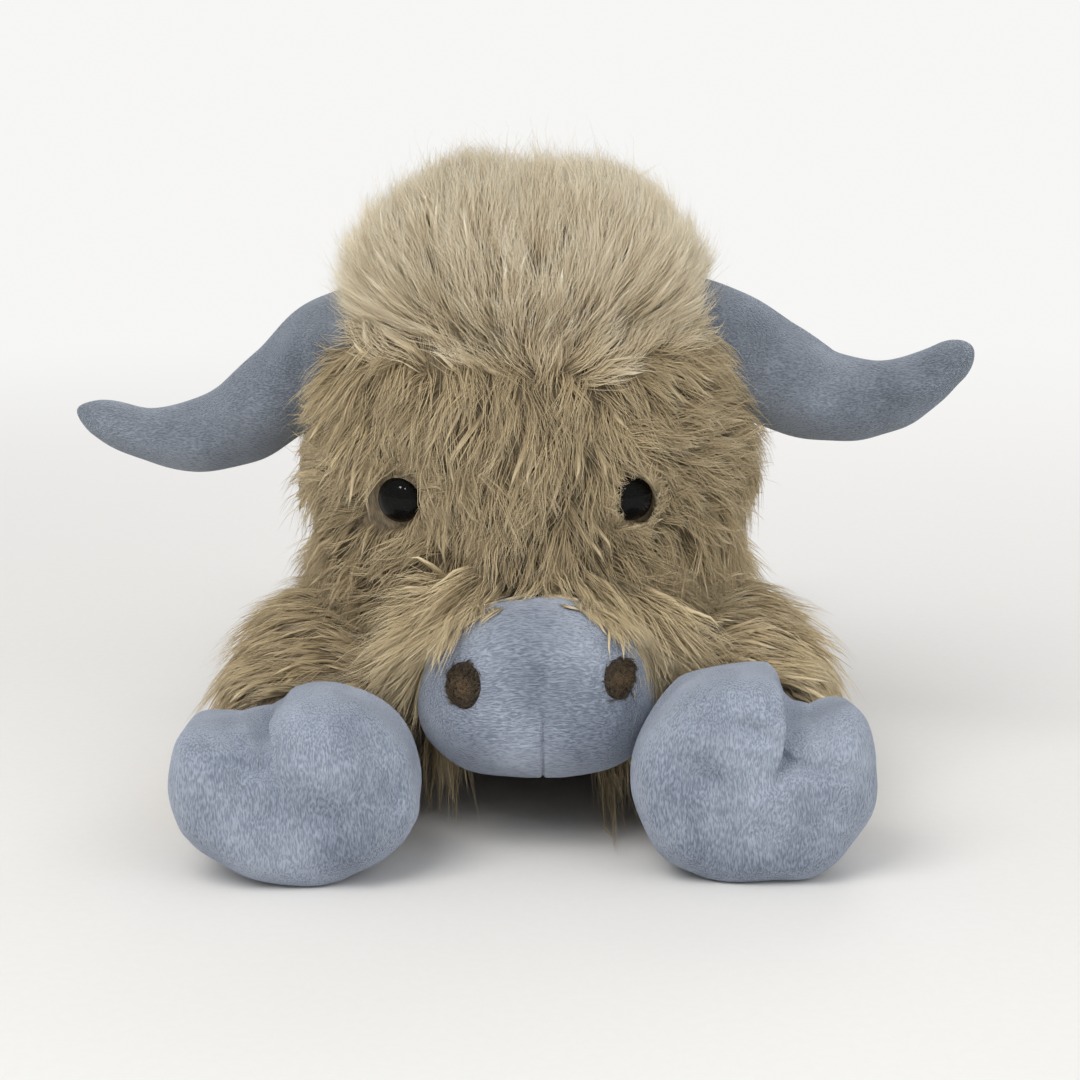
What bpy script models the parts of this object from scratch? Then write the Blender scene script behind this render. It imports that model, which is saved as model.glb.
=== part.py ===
"""A plush highland cow that lies on its belly with its four legs spread out.

Units are metres and +Z is up. The cow faces -Y, and its own left side is +X. Every sewn piece is a cover with
a wall, and every wad of stuffing lies inside its cover. Fur covers are as thick as their pressed pile.
"""

import math
from typing import NamedTuple

import bmesh
import bpy
from mathutils import Matrix, Vector
from mathutils.bvhtree import BVHTree

# Cloth, seams and cuts
SEAM_GAP = 0.0003
STUFFING_ROOM = 0.0008
MERGE_DISTANCE = 0.00001
FUR_THICKNESS = 0.007
MINKY_THICKNESS = 0.0018
FLAT_DEPTH = 0.0005
CUT_OVERRUN = 0.005

# Head
HEAD_WIDTH = 0.153
HEAD_DEPTH = 0.142
HEAD_HEIGHT = 0.158
CHIN_LIFT = 0.025
HEAD_MIDDLE_Y = -0.056
NECK_OPENING_RADIUS = 0.024
NECK_OPENING_HEIGHT = 0.058

# Topknot
TOPKNOT_WIDTH = 0.132
TOPKNOT_DEPTH = 0.122
TOPKNOT_BASE_HEIGHT = 0.138
TOPKNOT_TOP_HEIGHT = 0.217
TOPKNOT_MIDDLE_Y = -0.062
HORN_LIFT_ROOM = 0.0045

# Muzzle
MUZZLE_WIDTH = 0.0745
MUZZLE_HEIGHT = 0.056
MUZZLE_LENGTH = 0.070
MUZZLE_FRONT_Y = -0.1585
MUZZLE_MIDDLE_X = 0.0035
MUZZLE_MIDDLE_HEIGHT = 0.0515
MUZZLE_OPENING_RADIUS = 0.016

# Nostrils
NOSTRIL_WIDTH = 0.011
NOSTRIL_HEIGHT = 0.0142
NOSTRIL_THICKNESS = 0.0045

# Eyes
EYE_RADIUS = 0.007
EYE_DOME_HEIGHT = 0.0048
EYE_FLANGE = 0.001
EYE_SINK = 0.0025
EYE_STEM_RADIUS = 0.002
EYE_STEM_LENGTH = 0.0125
EYE_WASHER_RADIUS = 0.0065
EYE_WASHER_THICKNESS = 0.0014
EYE_WASHER_CLEARANCE = 0.001

# Horns
HORN_MIDDLE_Y = -0.053
HORN_TIP_FORWARD = 0.006
HORN_HINGE_RISE = 0.0015

# Ears
EAR_LENGTH = 0.046
EAR_HEIGHT = 0.025
EAR_THICKNESS = 0.009
EAR_ROOT_Y = -0.046
EAR_ROOT_HEIGHT = 0.110
EAR_STAND_OFF = 0.0015

# Body
BODY_LENGTH = 0.174
BODY_WIDTH = 0.148
BODY_HEIGHT = 0.098
BODY_FRONT_Y = -0.046

# Front legs and hooves
FRONT_LEG_WIDTH = 0.074
FRONT_LEG_HEIGHT = 0.070
SHOULDER_X = 0.057
SHOULDER_Y = 0.016
HOOF_OVERLAP = 0.020
HEAD_TO_LEG_ROOM = 0.001
LEG_OPENING_RADIUS = 0.013

# Hind legs and hooves
HIND_LEG_WIDTH = 0.066
HIND_LEG_HEIGHT = 0.060
HIP_X = 0.050
HIP_Y = 0.068

# Tail
TAIL_WIDTH = 0.011
TAIL_ROOT_HEIGHT = 0.066
TAIL_ROOT_INSET = 0.016
TAIL_REACH = 0.048
TUFT_WIDTH = 0.021
TUFT_LENGTH = 0.030

# Counts
LARGE_SIDES = 10
FINE_SIDES = 8
PLAIN_SIDES = 6
TURNED_STEPS = 12
DOME_STEPS = 4


class Hoof(NamedTuple):
    """A stuffed hoof: its sizes, where its middle lies across, and where its sole stands."""

    width: float
    height: float
    length: float
    middle_x: float
    sole_y: float


FRONT_HOOVES = {
    "left": Hoof(width=0.074, height=0.064, length=0.052, middle_x=0.0695, sole_y=-0.1755),
    "right": Hoof(width=0.0755, height=0.060, length=0.054, middle_x=-0.0705, sole_y=-0.1795),
}
HIND_HOOVES = {
    "left": Hoof(width=0.063, height=0.056, length=0.044, middle_x=0.062, sole_y=0.1795),
    "right": Hoof(width=0.063, height=0.056, length=0.044, middle_x=-0.062, sole_y=0.1795),
}


class Horn(NamedTuple):
    """A horn that leaves the head sideways, dips and rises again to its tip."""

    root_x: float
    root_height: float
    root_radius: float
    reach: float
    dip_depth: float


HORNS = {
    "left": Horn(root_x=0.044, root_height=0.150, root_radius=0.0235, reach=0.1075, dip_depth=0.0177),
    "right": Horn(root_x=-0.044, root_height=0.149, root_radius=0.0225, reach=0.1095, dip_depth=0.0302),
}
EYES = {"left": (0.0345, 0.1090), "right": (-0.0416, 0.1080)}
NOSTRILS = {"left": (0.0286, 0.0600), "right": (-0.0194, 0.0588)}

# Rings of each form, from its first end to its last, as shares of its own sizes
# Head, from the chin up: height, width, depth, and how far the ring lies back
HEAD_SHARES = (
    (0.00, 0.44, 0.58, -0.04),
    (0.16, 0.82, 0.89, -0.03),
    (0.42, 1.03, 1.03, -0.01),
    (0.70, 1.04, 1.04, 0.00),
    (0.90, 0.80, 0.80, 0.01),
    (1.00, 0.38, 0.38, 0.01),
)
# Topknot, from its base up: height, width, depth
TOPKNOT_SHARES = (
    (0.00, 0.70, 0.88),
    (0.24, 0.93, 1.03),
    (0.54, 1.03, 1.02),
    (0.82, 0.86, 0.86),
    (1.00, 0.44, 0.44),
)
# Muzzle, from the face to its front: length, width, height
MUZZLE_SHARES = ((0.00, 0.86, 0.86), (0.46, 1.00, 1.00), (0.84, 1.02, 1.02), (1.00, 0.66, 0.66))
MUZZLE_TOP_NARROWING_SHARE = 0.14
# Horns, from the root to the tip: reach, dip, radius
HORN_SHARES = {
    "left": (
        (0.00, 0.00, 1.00),
        (0.19, 0.16, 0.94),
        (0.37, 0.56, 0.76),
        (0.52, 0.98, 0.66),
        (0.68, 1.02, 0.58),
        (0.81, 0.80, 0.48),
        (0.92, 0.38, 0.36),
        (1.00, 0.02, 0.19),
    ),
    "right": (
        (0.00, 0.00, 1.00),
        (0.20, 0.16, 0.92),
        (0.35, 0.48, 0.72),
        (0.49, 0.83, 0.64),
        (0.63, 1.00, 0.57),
        (0.78, 0.98, 0.45),
        (0.92, 0.80, 0.32),
        (1.00, 0.68, 0.18),
    ),
}
# Ears, from the root to the tip: length, height, thickness
EAR_SHARES = ((0.00, 0.66, 0.70), (0.28, 1.02, 1.00), (0.62, 0.88, 0.90), (1.00, 0.28, 0.40))
# How far an ear's tip leans out, back and down, as shares of its length
EAR_LEAN_SHARES = (0.22, 0.86, -0.34)
# Body, from the neck to the rump: length, width, height
BODY_SHARES = (
    (0.00, 0.50, 0.62),
    (0.20, 0.84, 0.90),
    (0.48, 1.02, 1.03),
    (0.73, 1.02, 1.02),
    (0.91, 0.80, 0.84),
    (1.00, 0.44, 0.50),
)
# Legs, from the body to the hoof: length, width, height
FRONT_LEG_SHARES = (
    (0.00, 0.62, 0.66),
    (0.20, 1.00, 0.98),
    (0.56, 1.03, 0.97),
    (0.86, 0.85, 0.82),
    (1.00, 0.64, 0.60),
)
HIND_LEG_SHARES = ((0.00, 0.62, 0.66), (0.22, 1.00, 1.00), (0.72, 0.87, 0.84), (1.00, 0.62, 0.60))
# Hooves, from the leg to the sole: length, width, height
HOOF_SHARES = ((0.00, 0.62, 0.64), (0.32, 0.97, 0.97), (0.80, 1.05, 1.05), (1.00, 0.85, 0.85))
# Tail, from its root to its end: reach, height
TAIL_SHARES = ((0.00, 1.00), (0.34, 0.72), (0.62, 0.34), (1.00, 0.15))
TUFT_SHARES = ((0.00, 0.46), (0.35, 1.02), (0.75, 0.90), (1.00, 0.34))

HANDS = {"left": 1, "right": -1}
X_AXIS = Vector((1, 0, 0))
Y_AXIS = Vector((0, 1, 0))
Z_AXIS = Vector((0, 0, 1))


class Ring(NamedTuple):
    """One loop of a cage: its centre, its half sizes and how much narrower its top is."""

    centre: Vector
    half_across: float
    half_up: float
    narrowing: float = 0.0


class Form(NamedTuple):
    """A soft form: the rings of its cage, the axis that they run across, and each ring's sides."""

    name: str
    rings: list
    across_axis: Vector
    sides: int


def clear_scene():
    for obj in list(bpy.data.objects):
        bpy.data.objects.remove(obj, do_unlink=True)


def new_collection(name):
    collection = bpy.data.collections.new(name)
    bpy.context.scene.collection.children.link(collection)
    return collection


def finish(name, colour, roughness, metallic=0.0):
    material = bpy.data.materials.new(name)
    material.use_nodes = True
    shader = material.node_tree.nodes["Principled BSDF"]
    shader.inputs["Base Color"].default_value = (*colour, 1)
    shader.inputs["Roughness"].default_value = roughness
    shader.inputs["Metallic"].default_value = metallic
    material.diffuse_color = (*colour, 1)
    return material


clear_scene()
COW = new_collection("plush_cow")
CUTTERS = new_collection("cutters")
FUR = finish("tan fur", (0.40, 0.31, 0.20), 0.95)
PALE_FUR = finish("pale topknot fur", (0.56, 0.46, 0.31), 0.95)
MINKY = finish("grey blue minky", (0.33, 0.36, 0.43), 0.85)
BROWN_FELT = finish("brown felt", (0.07, 0.045, 0.025), 0.95)
BLACK_GLOSS = finish("black gloss", (0.004, 0.004, 0.004), 0.06)
WASHER_PLASTIC = finish("white plastic", (0.75, 0.75, 0.73), 0.45)
STUFFING = finish("polyester stuffing", (0.82, 0.81, 0.78), 1.0)


def drawn_in_share(sides):
    """The size that a ring keeps once it is smoothed, as a share of its cage's size."""
    return (2 + math.cos(math.tau / sides)) / 3


def directions(form):
    """For each ring, the directions along the path, across the ring and up it, square to each other."""
    centres = [ring.centre for ring in form.rings]
    found = []
    for index in range(len(centres)):
        ahead = centres[min(index + 1, len(centres) - 1)]
        behind = centres[max(index - 1, 0)]
        along = (ahead - behind).normalized()
        across = (form.across_axis - along * form.across_axis.dot(along)).normalized()
        found.append((along, across, along.cross(across)))
    return found


def cage(form, distance):
    """The form moved outwards by a distance: a drum with a loop cut for each ring, laid on the rings."""
    share = drawn_in_share(form.sides)
    last = len(form.rings) - 1
    drum_cage = bmesh.new()
    bmesh.ops.create_cone(
        drum_cage, cap_ends=True, cap_tris=False, segments=form.sides, radius1=1, radius2=1, depth=last
    )
    half_a_side = Matrix.Rotation(math.pi / form.sides, 4, "Z")
    lift = Matrix.Translation((0, 0, last / 2))
    bmesh.ops.transform(drum_cage, matrix=lift @ half_a_side, verts=drum_cage.verts)
    for level in range(1, last):
        parts = drum_cage.verts[:] + drum_cage.edges[:] + drum_cage.faces[:]
        bmesh.ops.bisect_plane(drum_cage, geom=parts, plane_co=(0, 0, level), plane_no=(0, 0, 1))
    axes = directions(form)
    for vertex in drum_cage.verts:
        level = round(vertex.co.z)
        ring = form.rings[level]
        along, across, up = axes[level]
        outward_share = 2 * level / last - 1
        narrowed = 1 - ring.narrowing * vertex.co.y
        vertex.co = (
            ring.centre
            + along * (outward_share * distance)
            + across * (vertex.co.x * (narrowed * ring.half_across + distance) / share)
            + up * (vertex.co.y * (ring.half_up + distance) / share)
        )
    drum_cage.normal_update()
    if drum_cage.calc_volume(signed=True) < 0:
        bmesh.ops.reverse_faces(drum_cage, faces=drum_cage.faces)
    mesh = bpy.data.meshes.new(form.name)
    drum_cage.to_mesh(mesh)
    drum_cage.free()
    return mesh


def subdivided(name, form, distance, collection):
    """A new object of the form, moved outwards by a distance and smoothed."""
    mesh = cage(form, distance)
    mesh.name = name
    mesh.shade_smooth()
    obj = bpy.data.objects.new(name, mesh)
    collection.objects.link(obj)
    smooth = obj.modifiers.new("swell", "SUBSURF")
    smooth.levels = 1
    smooth.render_levels = 1
    facets = obj.modifiers.new("facets", "TRIANGULATE")
    facets.quad_method = "FIXED"
    return obj


def combine(obj, others, operation="DIFFERENCE"):
    for other in others:
        boolean = obj.modifiers.new(f"{operation.lower()} {other.name}", "BOOLEAN")
        boolean.operation = operation
        boolean.solver = "MANIFOLD"
        boolean.object = other


def hide(obj):
    obj.hide_render = True
    obj.display_type = "WIRE"
    return obj


def guide(name, form, distance):
    """A hidden copy of a form, moved outwards by a clearance or inwards by a wall."""
    return hide(subdivided(name, form, distance, CUTTERS))


def cover(name, form, wall, material, cutters):
    """A sewn cover: the form hollowed to its wall, and cut by its neighbours and at its openings."""
    obj = subdivided(name, form, 0, COW)
    obj.data.materials.append(material)
    combine(obj, [guide(f"{name}_cavity", form, -wall), *cutters])
    return obj


def wad(name, form, wall, cutters, collection):
    """Stuffing that fills a cover with this wall."""
    obj = subdivided(name, form, -wall - STUFFING_ROOM, collection)
    obj.data.materials.append(STUFFING)
    combine(obj, cutters)
    return obj


def solid(name, form, material, cutters):
    obj = subdivided(name, form, 0, COW)
    obj.data.materials.append(material)
    combine(obj, cutters)
    return obj


def mesh_object(name, mesh, material=None):
    """A visible piece where a material is given, and otherwise a hidden cutter."""
    obj = bpy.data.objects.new(name, mesh)
    if material is None:
        CUTTERS.objects.link(obj)
        return hide(obj)
    COW.objects.link(obj)
    mesh.materials.append(material)
    mesh.shade_smooth()
    mesh.set_sharp_from_angle(angle=math.radians(40))
    return obj


def drum(name, centre, axis, radius, length):
    """A hidden cylinder round a centre, along an axis."""
    shape = bmesh.new()
    bmesh.ops.create_cone(
        shape, cap_ends=True, segments=TURNED_STEPS, radius1=radius, radius2=radius, depth=length
    )
    turn = Z_AXIS.rotation_difference(axis).to_matrix().to_4x4()
    bmesh.ops.transform(shape, matrix=Matrix.Translation(centre) @ turn, verts=shape.verts)
    mesh = bpy.data.meshes.new(name)
    shape.to_mesh(mesh)
    shape.free()
    return mesh_object(name, mesh)


def turned(name, profile, place, axis, material=None, closed=False):
    """A profile of (radius, height) points, from the top down its outer side, turned at a place."""
    points = [(radius, 0, height) for radius, height in profile]
    edges = [(index, index + 1) for index in range(len(points) - 1)]
    if closed:
        edges.append((len(points) - 1, 0))
    mesh = bpy.data.meshes.new(name)
    mesh.from_pydata(points, edges, [])
    obj = mesh_object(name, mesh, material)
    obj.location = place
    obj.rotation_mode = "QUATERNION"
    obj.rotation_quaternion = Z_AXIS.rotation_difference(axis)
    screw = obj.modifiers.new("turn", "SCREW")
    screw.steps = TURNED_STEPS
    screw.render_steps = TURNED_STEPS
    screw.use_merge_vertices = True
    screw.merge_threshold = MERGE_DISTANCE
    screw.use_smooth_shade = True
    return obj


def surface_tree(obj):
    bpy.context.view_layer.update()
    return BVHTree.FromObject(obj, bpy.context.evaluated_depsgraph_get())


def surface_at(obj, start, direction):
    """Where a straight look at the object first meets it, and the surface's direction there."""
    place, facing, _, _ = surface_tree(obj).ray_cast(start, direction)
    return place, facing


def lowest_point(form):
    """The height of the form's lowest point once it is smoothed."""
    obj = subdivided("measured", form, 0, CUTTERS)
    bpy.context.view_layer.update()
    evaluated = obj.evaluated_get(bpy.context.evaluated_depsgraph_get())
    lowest = min(vertex.co.z for vertex in evaluated.data.vertices)
    bpy.data.objects.remove(obj)
    return lowest


def set_down(form):
    """Lowers or lifts a form until it reaches just under the floor, where it is cut flat."""
    lift = Vector((0, 0, -lowest_point(form) - FLAT_DEPTH))
    return form._replace(rings=[ring._replace(centre=ring.centre + lift) for ring in form.rings])


def hinge(name, place):
    """An empty on a joint's axis, which its moving pieces hang on."""
    empty = bpy.data.objects.new(name, None)
    empty.location = place
    empty.empty_display_size = EYE_RADIUS
    COW.objects.link(empty)
    return empty


def hang(pieces, empty):
    """Makes the pieces children of a hinge and leaves them where they are."""
    bpy.context.view_layer.update()
    for piece in pieces:
        piece.parent = empty
        piece.matrix_parent_inverse = empty.matrix_world.inverted()


def floor_cutter():
    """Everything below the floor, over more than the cow's length."""
    reach = 4 * (BODY_LENGTH + HEAD_DEPTH)
    shape = bmesh.new()
    bmesh.ops.create_cube(shape, size=1)
    size = Matrix.Diagonal((reach, reach, BODY_HEIGHT, 1))
    drop = Matrix.Translation((0, 0, -BODY_HEIGHT / 2))
    bmesh.ops.transform(shape, matrix=drop @ size, verts=shape.verts)
    mesh = bpy.data.meshes.new("floor")
    shape.to_mesh(mesh)
    shape.free()
    return mesh_object("floor", mesh)


def head_form():
    rings = [
        Ring(
            Vector((0, HEAD_MIDDLE_Y + back * HEAD_DEPTH, CHIN_LIFT + height * HEAD_HEIGHT)),
            width * HEAD_WIDTH / 2,
            depth * HEAD_DEPTH / 2,
        )
        for height, width, depth, back in HEAD_SHARES
    ]
    return Form("head", rings, X_AXIS, LARGE_SIDES)


def body_form():
    rings = [
        Ring(
            Vector((0, BODY_FRONT_Y + along * BODY_LENGTH, height * BODY_HEIGHT / 2)),
            width * BODY_WIDTH / 2,
            height * BODY_HEIGHT / 2,
        )
        for along, width, height in BODY_SHARES
    ]
    return set_down(Form("body", rings, X_AXIS, LARGE_SIDES))


def muzzle_form():
    back = Vector((MUZZLE_MIDDLE_X, MUZZLE_FRONT_Y + MUZZLE_LENGTH, MUZZLE_MIDDLE_HEIGHT))
    rings = [
        Ring(
            back - Y_AXIS * (along * MUZZLE_LENGTH),
            width * MUZZLE_WIDTH / 2,
            height * MUZZLE_HEIGHT / 2,
            MUZZLE_TOP_NARROWING_SHARE,
        )
        for along, width, height in MUZZLE_SHARES
    ]
    return Form("muzzle", rings, X_AXIS, FINE_SIDES)


def topknot_form():
    rise = TOPKNOT_TOP_HEIGHT - TOPKNOT_BASE_HEIGHT
    rings = [
        Ring(
            Vector((0, TOPKNOT_MIDDLE_Y, TOPKNOT_BASE_HEIGHT + height * rise)),
            width * TOPKNOT_WIDTH / 2,
            depth * TOPKNOT_DEPTH / 2,
        )
        for height, width, depth in TOPKNOT_SHARES
    ]
    return Form("topknot", rings, X_AXIS, FINE_SIDES)


def horn_form(side):
    horn = HORNS[side]
    rings = [
        Ring(
            Vector(
                (
                    horn.root_x + HANDS[side] * reach * horn.reach,
                    HORN_MIDDLE_Y - reach * HORN_TIP_FORWARD,
                    horn.root_height - dip * horn.dip_depth,
                )
            ),
            radius * horn.root_radius,
            radius * horn.root_radius,
        )
        for reach, dip, radius in HORN_SHARES[side]
    ]
    return Form(f"horn_{side}", rings, Y_AXIS, PLAIN_SIDES)


def leg_form(name, body_end, hoof_end, width, height, shares):
    """A leg on the floor between the middles of its body end and its hoof end."""
    start = Vector(body_end)
    path = Vector(hoof_end) - start
    rings = [
        Ring(start + along * path, across * width / 2, up * height / 2) for along, across, up in shares
    ]
    return set_down(Form(name, rings, X_AXIS, PLAIN_SIDES))


def hoof_form(name, hoof, facing):
    """A hoof on the floor whose sole faces -Y where facing is -1, and +Y where it is 1."""
    leg_end = hoof.sole_y - facing * hoof.length
    rings = [
        Ring(
            Vector((hoof.middle_x, leg_end + facing * along * hoof.length, hoof.height / 2)),
            width * hoof.width / 2,
            height * hoof.height / 2,
        )
        for along, width, height in HOOF_SHARES
    ]
    return set_down(Form(name, rings, X_AXIS, FINE_SIDES))


FLOOR = floor_cutter()
HEAD_FORM = head_form()
BODY_FORM = body_form()
MUZZLE_FORM = muzzle_form()
HORN_FORMS = {side: horn_form(side) for side in HANDS}
ROUND_HEAD = guide("round_head", HEAD_FORM, SEAM_GAP)
ABOVE_LEGS = guide("above_legs", HEAD_FORM, HEAD_TO_LEG_ROOM)
ROUND_BODY = guide("round_body", BODY_FORM, SEAM_GAP)
ROUND_MUZZLE = guide("round_muzzle", MUZZLE_FORM, SEAM_GAP)
HEAD_SURFACE = guide("head_surface", HEAD_FORM, 0)
MUZZLE_SURFACE = guide("muzzle_surface", MUZZLE_FORM, 0)


def make_body():
    cover("body_cover", BODY_FORM, FUR_THICKNESS, FUR, [ROUND_HEAD, FLOOR])
    wad("body_stuffing", BODY_FORM, FUR_THICKNESS, [ROUND_HEAD], COW)


def opening_pair(name, place, axis, radius, length):
    """The cutter of an opening, and the plug of stuffing that goes through it."""
    cutter = drum(f"{name}_opening", place, axis, radius, length)
    plug = drum(f"{name}_plug", place, axis, radius - STUFFING_ROOM, length)
    return cutter, plug


def eye_seats():
    """Each eye's place on the head's fur and the way it faces."""
    seats = {}
    for side, (across, height) in EYES.items():
        start = Vector((across, HEAD_MIDDLE_Y - HEAD_DEPTH, height))
        seats[side] = surface_at(HEAD_SURFACE, start, Y_AXIS)
    return seats


def make_eye(side, place, facing):
    """A safety eye with its washer. It returns them with the cutters of the cover and of the stuffing."""
    arc = [math.radians(90) * step / DOME_STEPS for step in range(DOME_STEPS + 1)]
    dome = [(EYE_RADIUS * math.sin(turn), EYE_DOME_HEIGHT * math.cos(turn)) for turn in arc]
    stem = [
        (EYE_RADIUS, -EYE_FLANGE),
        (EYE_STEM_RADIUS, -EYE_FLANGE),
        (EYE_STEM_RADIUS, -EYE_STEM_LENGTH),
        (0, -EYE_STEM_LENGTH),
    ]
    seat = place - facing * EYE_SINK
    eye = turned(f"eye_{side}", dome + stem, seat, facing, BLACK_GLOSS)
    hole = EYE_STEM_RADIUS + SEAM_GAP
    washer_top = EYE_SINK - FUR_THICKNESS - EYE_WASHER_CLEARANCE
    washer_end = washer_top - EYE_WASHER_THICKNESS
    washer = turned(
        f"eye_washer_{side}",
        [
            (hole, washer_top),
            (EYE_WASHER_RADIUS, washer_top),
            (EYE_WASHER_RADIUS, washer_end),
            (hole, washer_end),
        ],
        seat,
        facing,
        WASHER_PLASTIC,
        closed=True,
    )
    clear_of_eye = EYE_RADIUS + SEAM_GAP
    bed = -EYE_FLANGE - SEAM_GAP
    stem_end = -EYE_STEM_LENGTH - SEAM_GAP
    in_cover = turned(
        f"eye_seat_{side}",
        [
            (0, EYE_DOME_HEIGHT + CUT_OVERRUN),
            (clear_of_eye, EYE_DOME_HEIGHT + CUT_OVERRUN),
            (clear_of_eye, bed),
            (hole, bed),
            (hole, stem_end),
            (0, stem_end),
        ],
        seat,
        facing,
    )
    clear_of_washer = EYE_WASHER_RADIUS + SEAM_GAP
    in_stuffing = turned(
        f"washer_room_{side}",
        [
            (0, 0),
            (clear_of_washer, 0),
            (clear_of_washer, washer_end - SEAM_GAP),
            (hole, washer_end - SEAM_GAP),
            (hole, stem_end),
            (0, stem_end),
        ],
        seat,
        facing,
    )
    return [eye, washer], in_cover, in_stuffing


def make_muzzle():
    """The muzzle's cover, with the opening behind it and the stuffing that goes through that opening."""
    start = Vector((MUZZLE_MIDDLE_X, HEAD_MIDDLE_Y - HEAD_DEPTH, MUZZLE_MIDDLE_HEIGHT))
    place, facing = surface_at(HEAD_SURFACE, start, Y_AXIS)
    length = 2 * FUR_THICKNESS + MUZZLE_OPENING_RADIUS
    cutter, plug = opening_pair("muzzle", place, facing, MUZZLE_OPENING_RADIUS, length)
    muzzle = cover("muzzle_cover", MUZZLE_FORM, MINKY_THICKNESS, MINKY, [ROUND_HEAD])
    filling = hide(wad("muzzle_filling", MUZZLE_FORM, MINKY_THICKNESS, [ROUND_HEAD], CUTTERS))
    return muzzle, cutter, [plug, filling]


def make_nostril(side):
    """A brown oval patch that bulges from the muzzle's front."""
    across, height = NOSTRILS[side]
    start = Vector((across, MUZZLE_FRONT_Y - MUZZLE_LENGTH, height))
    place, facing = surface_at(MUZZLE_SURFACE, start, Y_AXIS)
    shape = bmesh.new()
    bmesh.ops.create_uvsphere(shape, u_segments=TURNED_STEPS, v_segments=PLAIN_SIDES, radius=1)
    size = Matrix.Diagonal((NOSTRIL_WIDTH / 2, NOSTRIL_THICKNESS / 2, NOSTRIL_HEIGHT / 2, 1))
    turn = (-Y_AXIS).rotation_difference(facing).to_matrix().to_4x4()
    bmesh.ops.transform(shape, matrix=turn @ size, verts=shape.verts)
    mesh = bpy.data.meshes.new(f"nostril_{side}")
    shape.to_mesh(mesh)
    shape.free()
    nostril = mesh_object(f"nostril_{side}", mesh, BROWN_FELT)
    nostril.location = place
    combine(nostril, [ROUND_MUZZLE])
    return nostril


def make_head():
    """The head with all that is fixed to it, and the hinge above the neck that it nods on."""
    behind = Vector((0, HEAD_MIDDLE_Y + HEAD_DEPTH, NECK_OPENING_HEIGHT))
    neck, neck_facing = surface_at(HEAD_SURFACE, behind, -Y_AXIS)
    neck_opening = drum(
        "neck_opening", neck, neck_facing, NECK_OPENING_RADIUS, 2 * FUR_THICKNESS + NECK_OPENING_RADIUS
    )
    muzzle, muzzle_opening, muzzle_fillings = make_muzzle()
    small_pieces = [muzzle]
    cover_cutters = [neck_opening, muzzle_opening]
    stuffing_cutters = []
    for side, (place, facing) in eye_seats().items():
        pieces, in_cover, in_stuffing = make_eye(side, place, facing)
        small_pieces += pieces
        cover_cutters.append(in_cover)
        stuffing_cutters.append(in_stuffing)
    head = cover("head_cover", HEAD_FORM, FUR_THICKNESS, FUR, cover_cutters)
    stuffing = wad("head_stuffing", HEAD_FORM, FUR_THICKNESS, stuffing_cutters, COW)
    combine(stuffing, muzzle_fillings, "UNION")
    small_pieces += [make_nostril(side) for side in HANDS]
    round_horns = [guide(f"round_horn_{side}", HORN_FORMS[side], HORN_LIFT_ROOM) for side in HANDS]
    topknot = solid("topknot", topknot_form(), PALE_FUR, [*round_horns, ROUND_HEAD])
    nod = hinge("head_nod", (0, HEAD_MIDDLE_Y + HEAD_DEPTH / 2, CHIN_LIFT + HEAD_HEIGHT / 2))
    hang([head, stuffing, topknot, *small_pieces], nod)
    return nod


def make_horn(side, nod):
    """A horn that can be lifted about the top edge of its root."""
    form = HORN_FORMS[side]
    horn = HORNS[side]
    cloth = cover(f"horn_{side}", form, MINKY_THICKNESS, MINKY, [ROUND_HEAD])
    stuffing = wad(f"horn_stuffing_{side}", form, MINKY_THICKNESS, [ROUND_HEAD], COW)
    top = horn.root_height + horn.root_radius + HORN_HINGE_RISE
    lift = hinge(f"horn_lift_{side}", (horn.root_x, HORN_MIDDLE_Y, top))
    hang([cloth, stuffing], lift)
    hang([lift], nod)


def make_ear(side, nod):
    """An ear that lies back along the head and swings out about its front edge."""
    hand = HANDS[side]
    outside = Vector((hand * HEAD_WIDTH, EAR_ROOT_Y, EAR_ROOT_HEIGHT))
    side_of_head, _ = surface_at(HEAD_SURFACE, outside, -hand * X_AXIS)
    root = side_of_head + hand * X_AXIS * EAR_STAND_OFF
    out, back, down = EAR_LEAN_SHARES
    reach = Vector((hand * out, back, down)) * EAR_LENGTH
    rings = [
        Ring(root + along * reach, height * EAR_HEIGHT / 2, thickness * EAR_THICKNESS / 2)
        for along, height, thickness in EAR_SHARES
    ]
    form = Form(f"ear_{side}", rings, Z_AXIS, PLAIN_SIDES)
    ear = solid(f"ear_{side}", form, FUR, [ROUND_HEAD])
    swing = hinge(f"ear_swing_{side}", root - Y_AXIS * SEAM_GAP)
    hang([ear], swing)
    hang([swing], nod)


def make_leg(name, side, form, hoof, facing, neighbours):
    """A fur leg with its minky hoof, and one wad of stuffing that fills both."""
    hoof_cloth = hoof_form(f"{name}_hoof_{side}", hoof, facing)
    round_leg = guide(f"round_{name}_leg_{side}", form, SEAM_GAP)
    end_y = hoof.sole_y - facing * (hoof.length - HOOF_OVERLAP)
    place = Vector((hoof.middle_x, end_y, hoof.height / 2))
    length = 2 * (FUR_THICKNESS + CUT_OVERRUN)
    cutter, plug = opening_pair(f"{name}_leg_{side}", place, Y_AXIS, LEG_OPENING_RADIUS, length)
    leg = cover(f"{name}_leg_{side}", form, FUR_THICKNESS, FUR, [*neighbours, cutter, FLOOR])
    around = [round_leg, *neighbours]
    hoof_cover = cover(f"{name}_hoof_{side}", hoof_cloth, MINKY_THICKNESS, MINKY, [*around, FLOOR])
    hoof_filling = wad(f"{name}_hoof_filling_{side}", hoof_cloth, MINKY_THICKNESS, around, CUTTERS)
    hide(hoof_filling)
    stuffing = wad(f"{name}_leg_stuffing_{side}", form, FUR_THICKNESS, neighbours, COW)
    combine(stuffing, [plug, hoof_filling], "UNION")
    return [leg, hoof_cover, stuffing]


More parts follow.
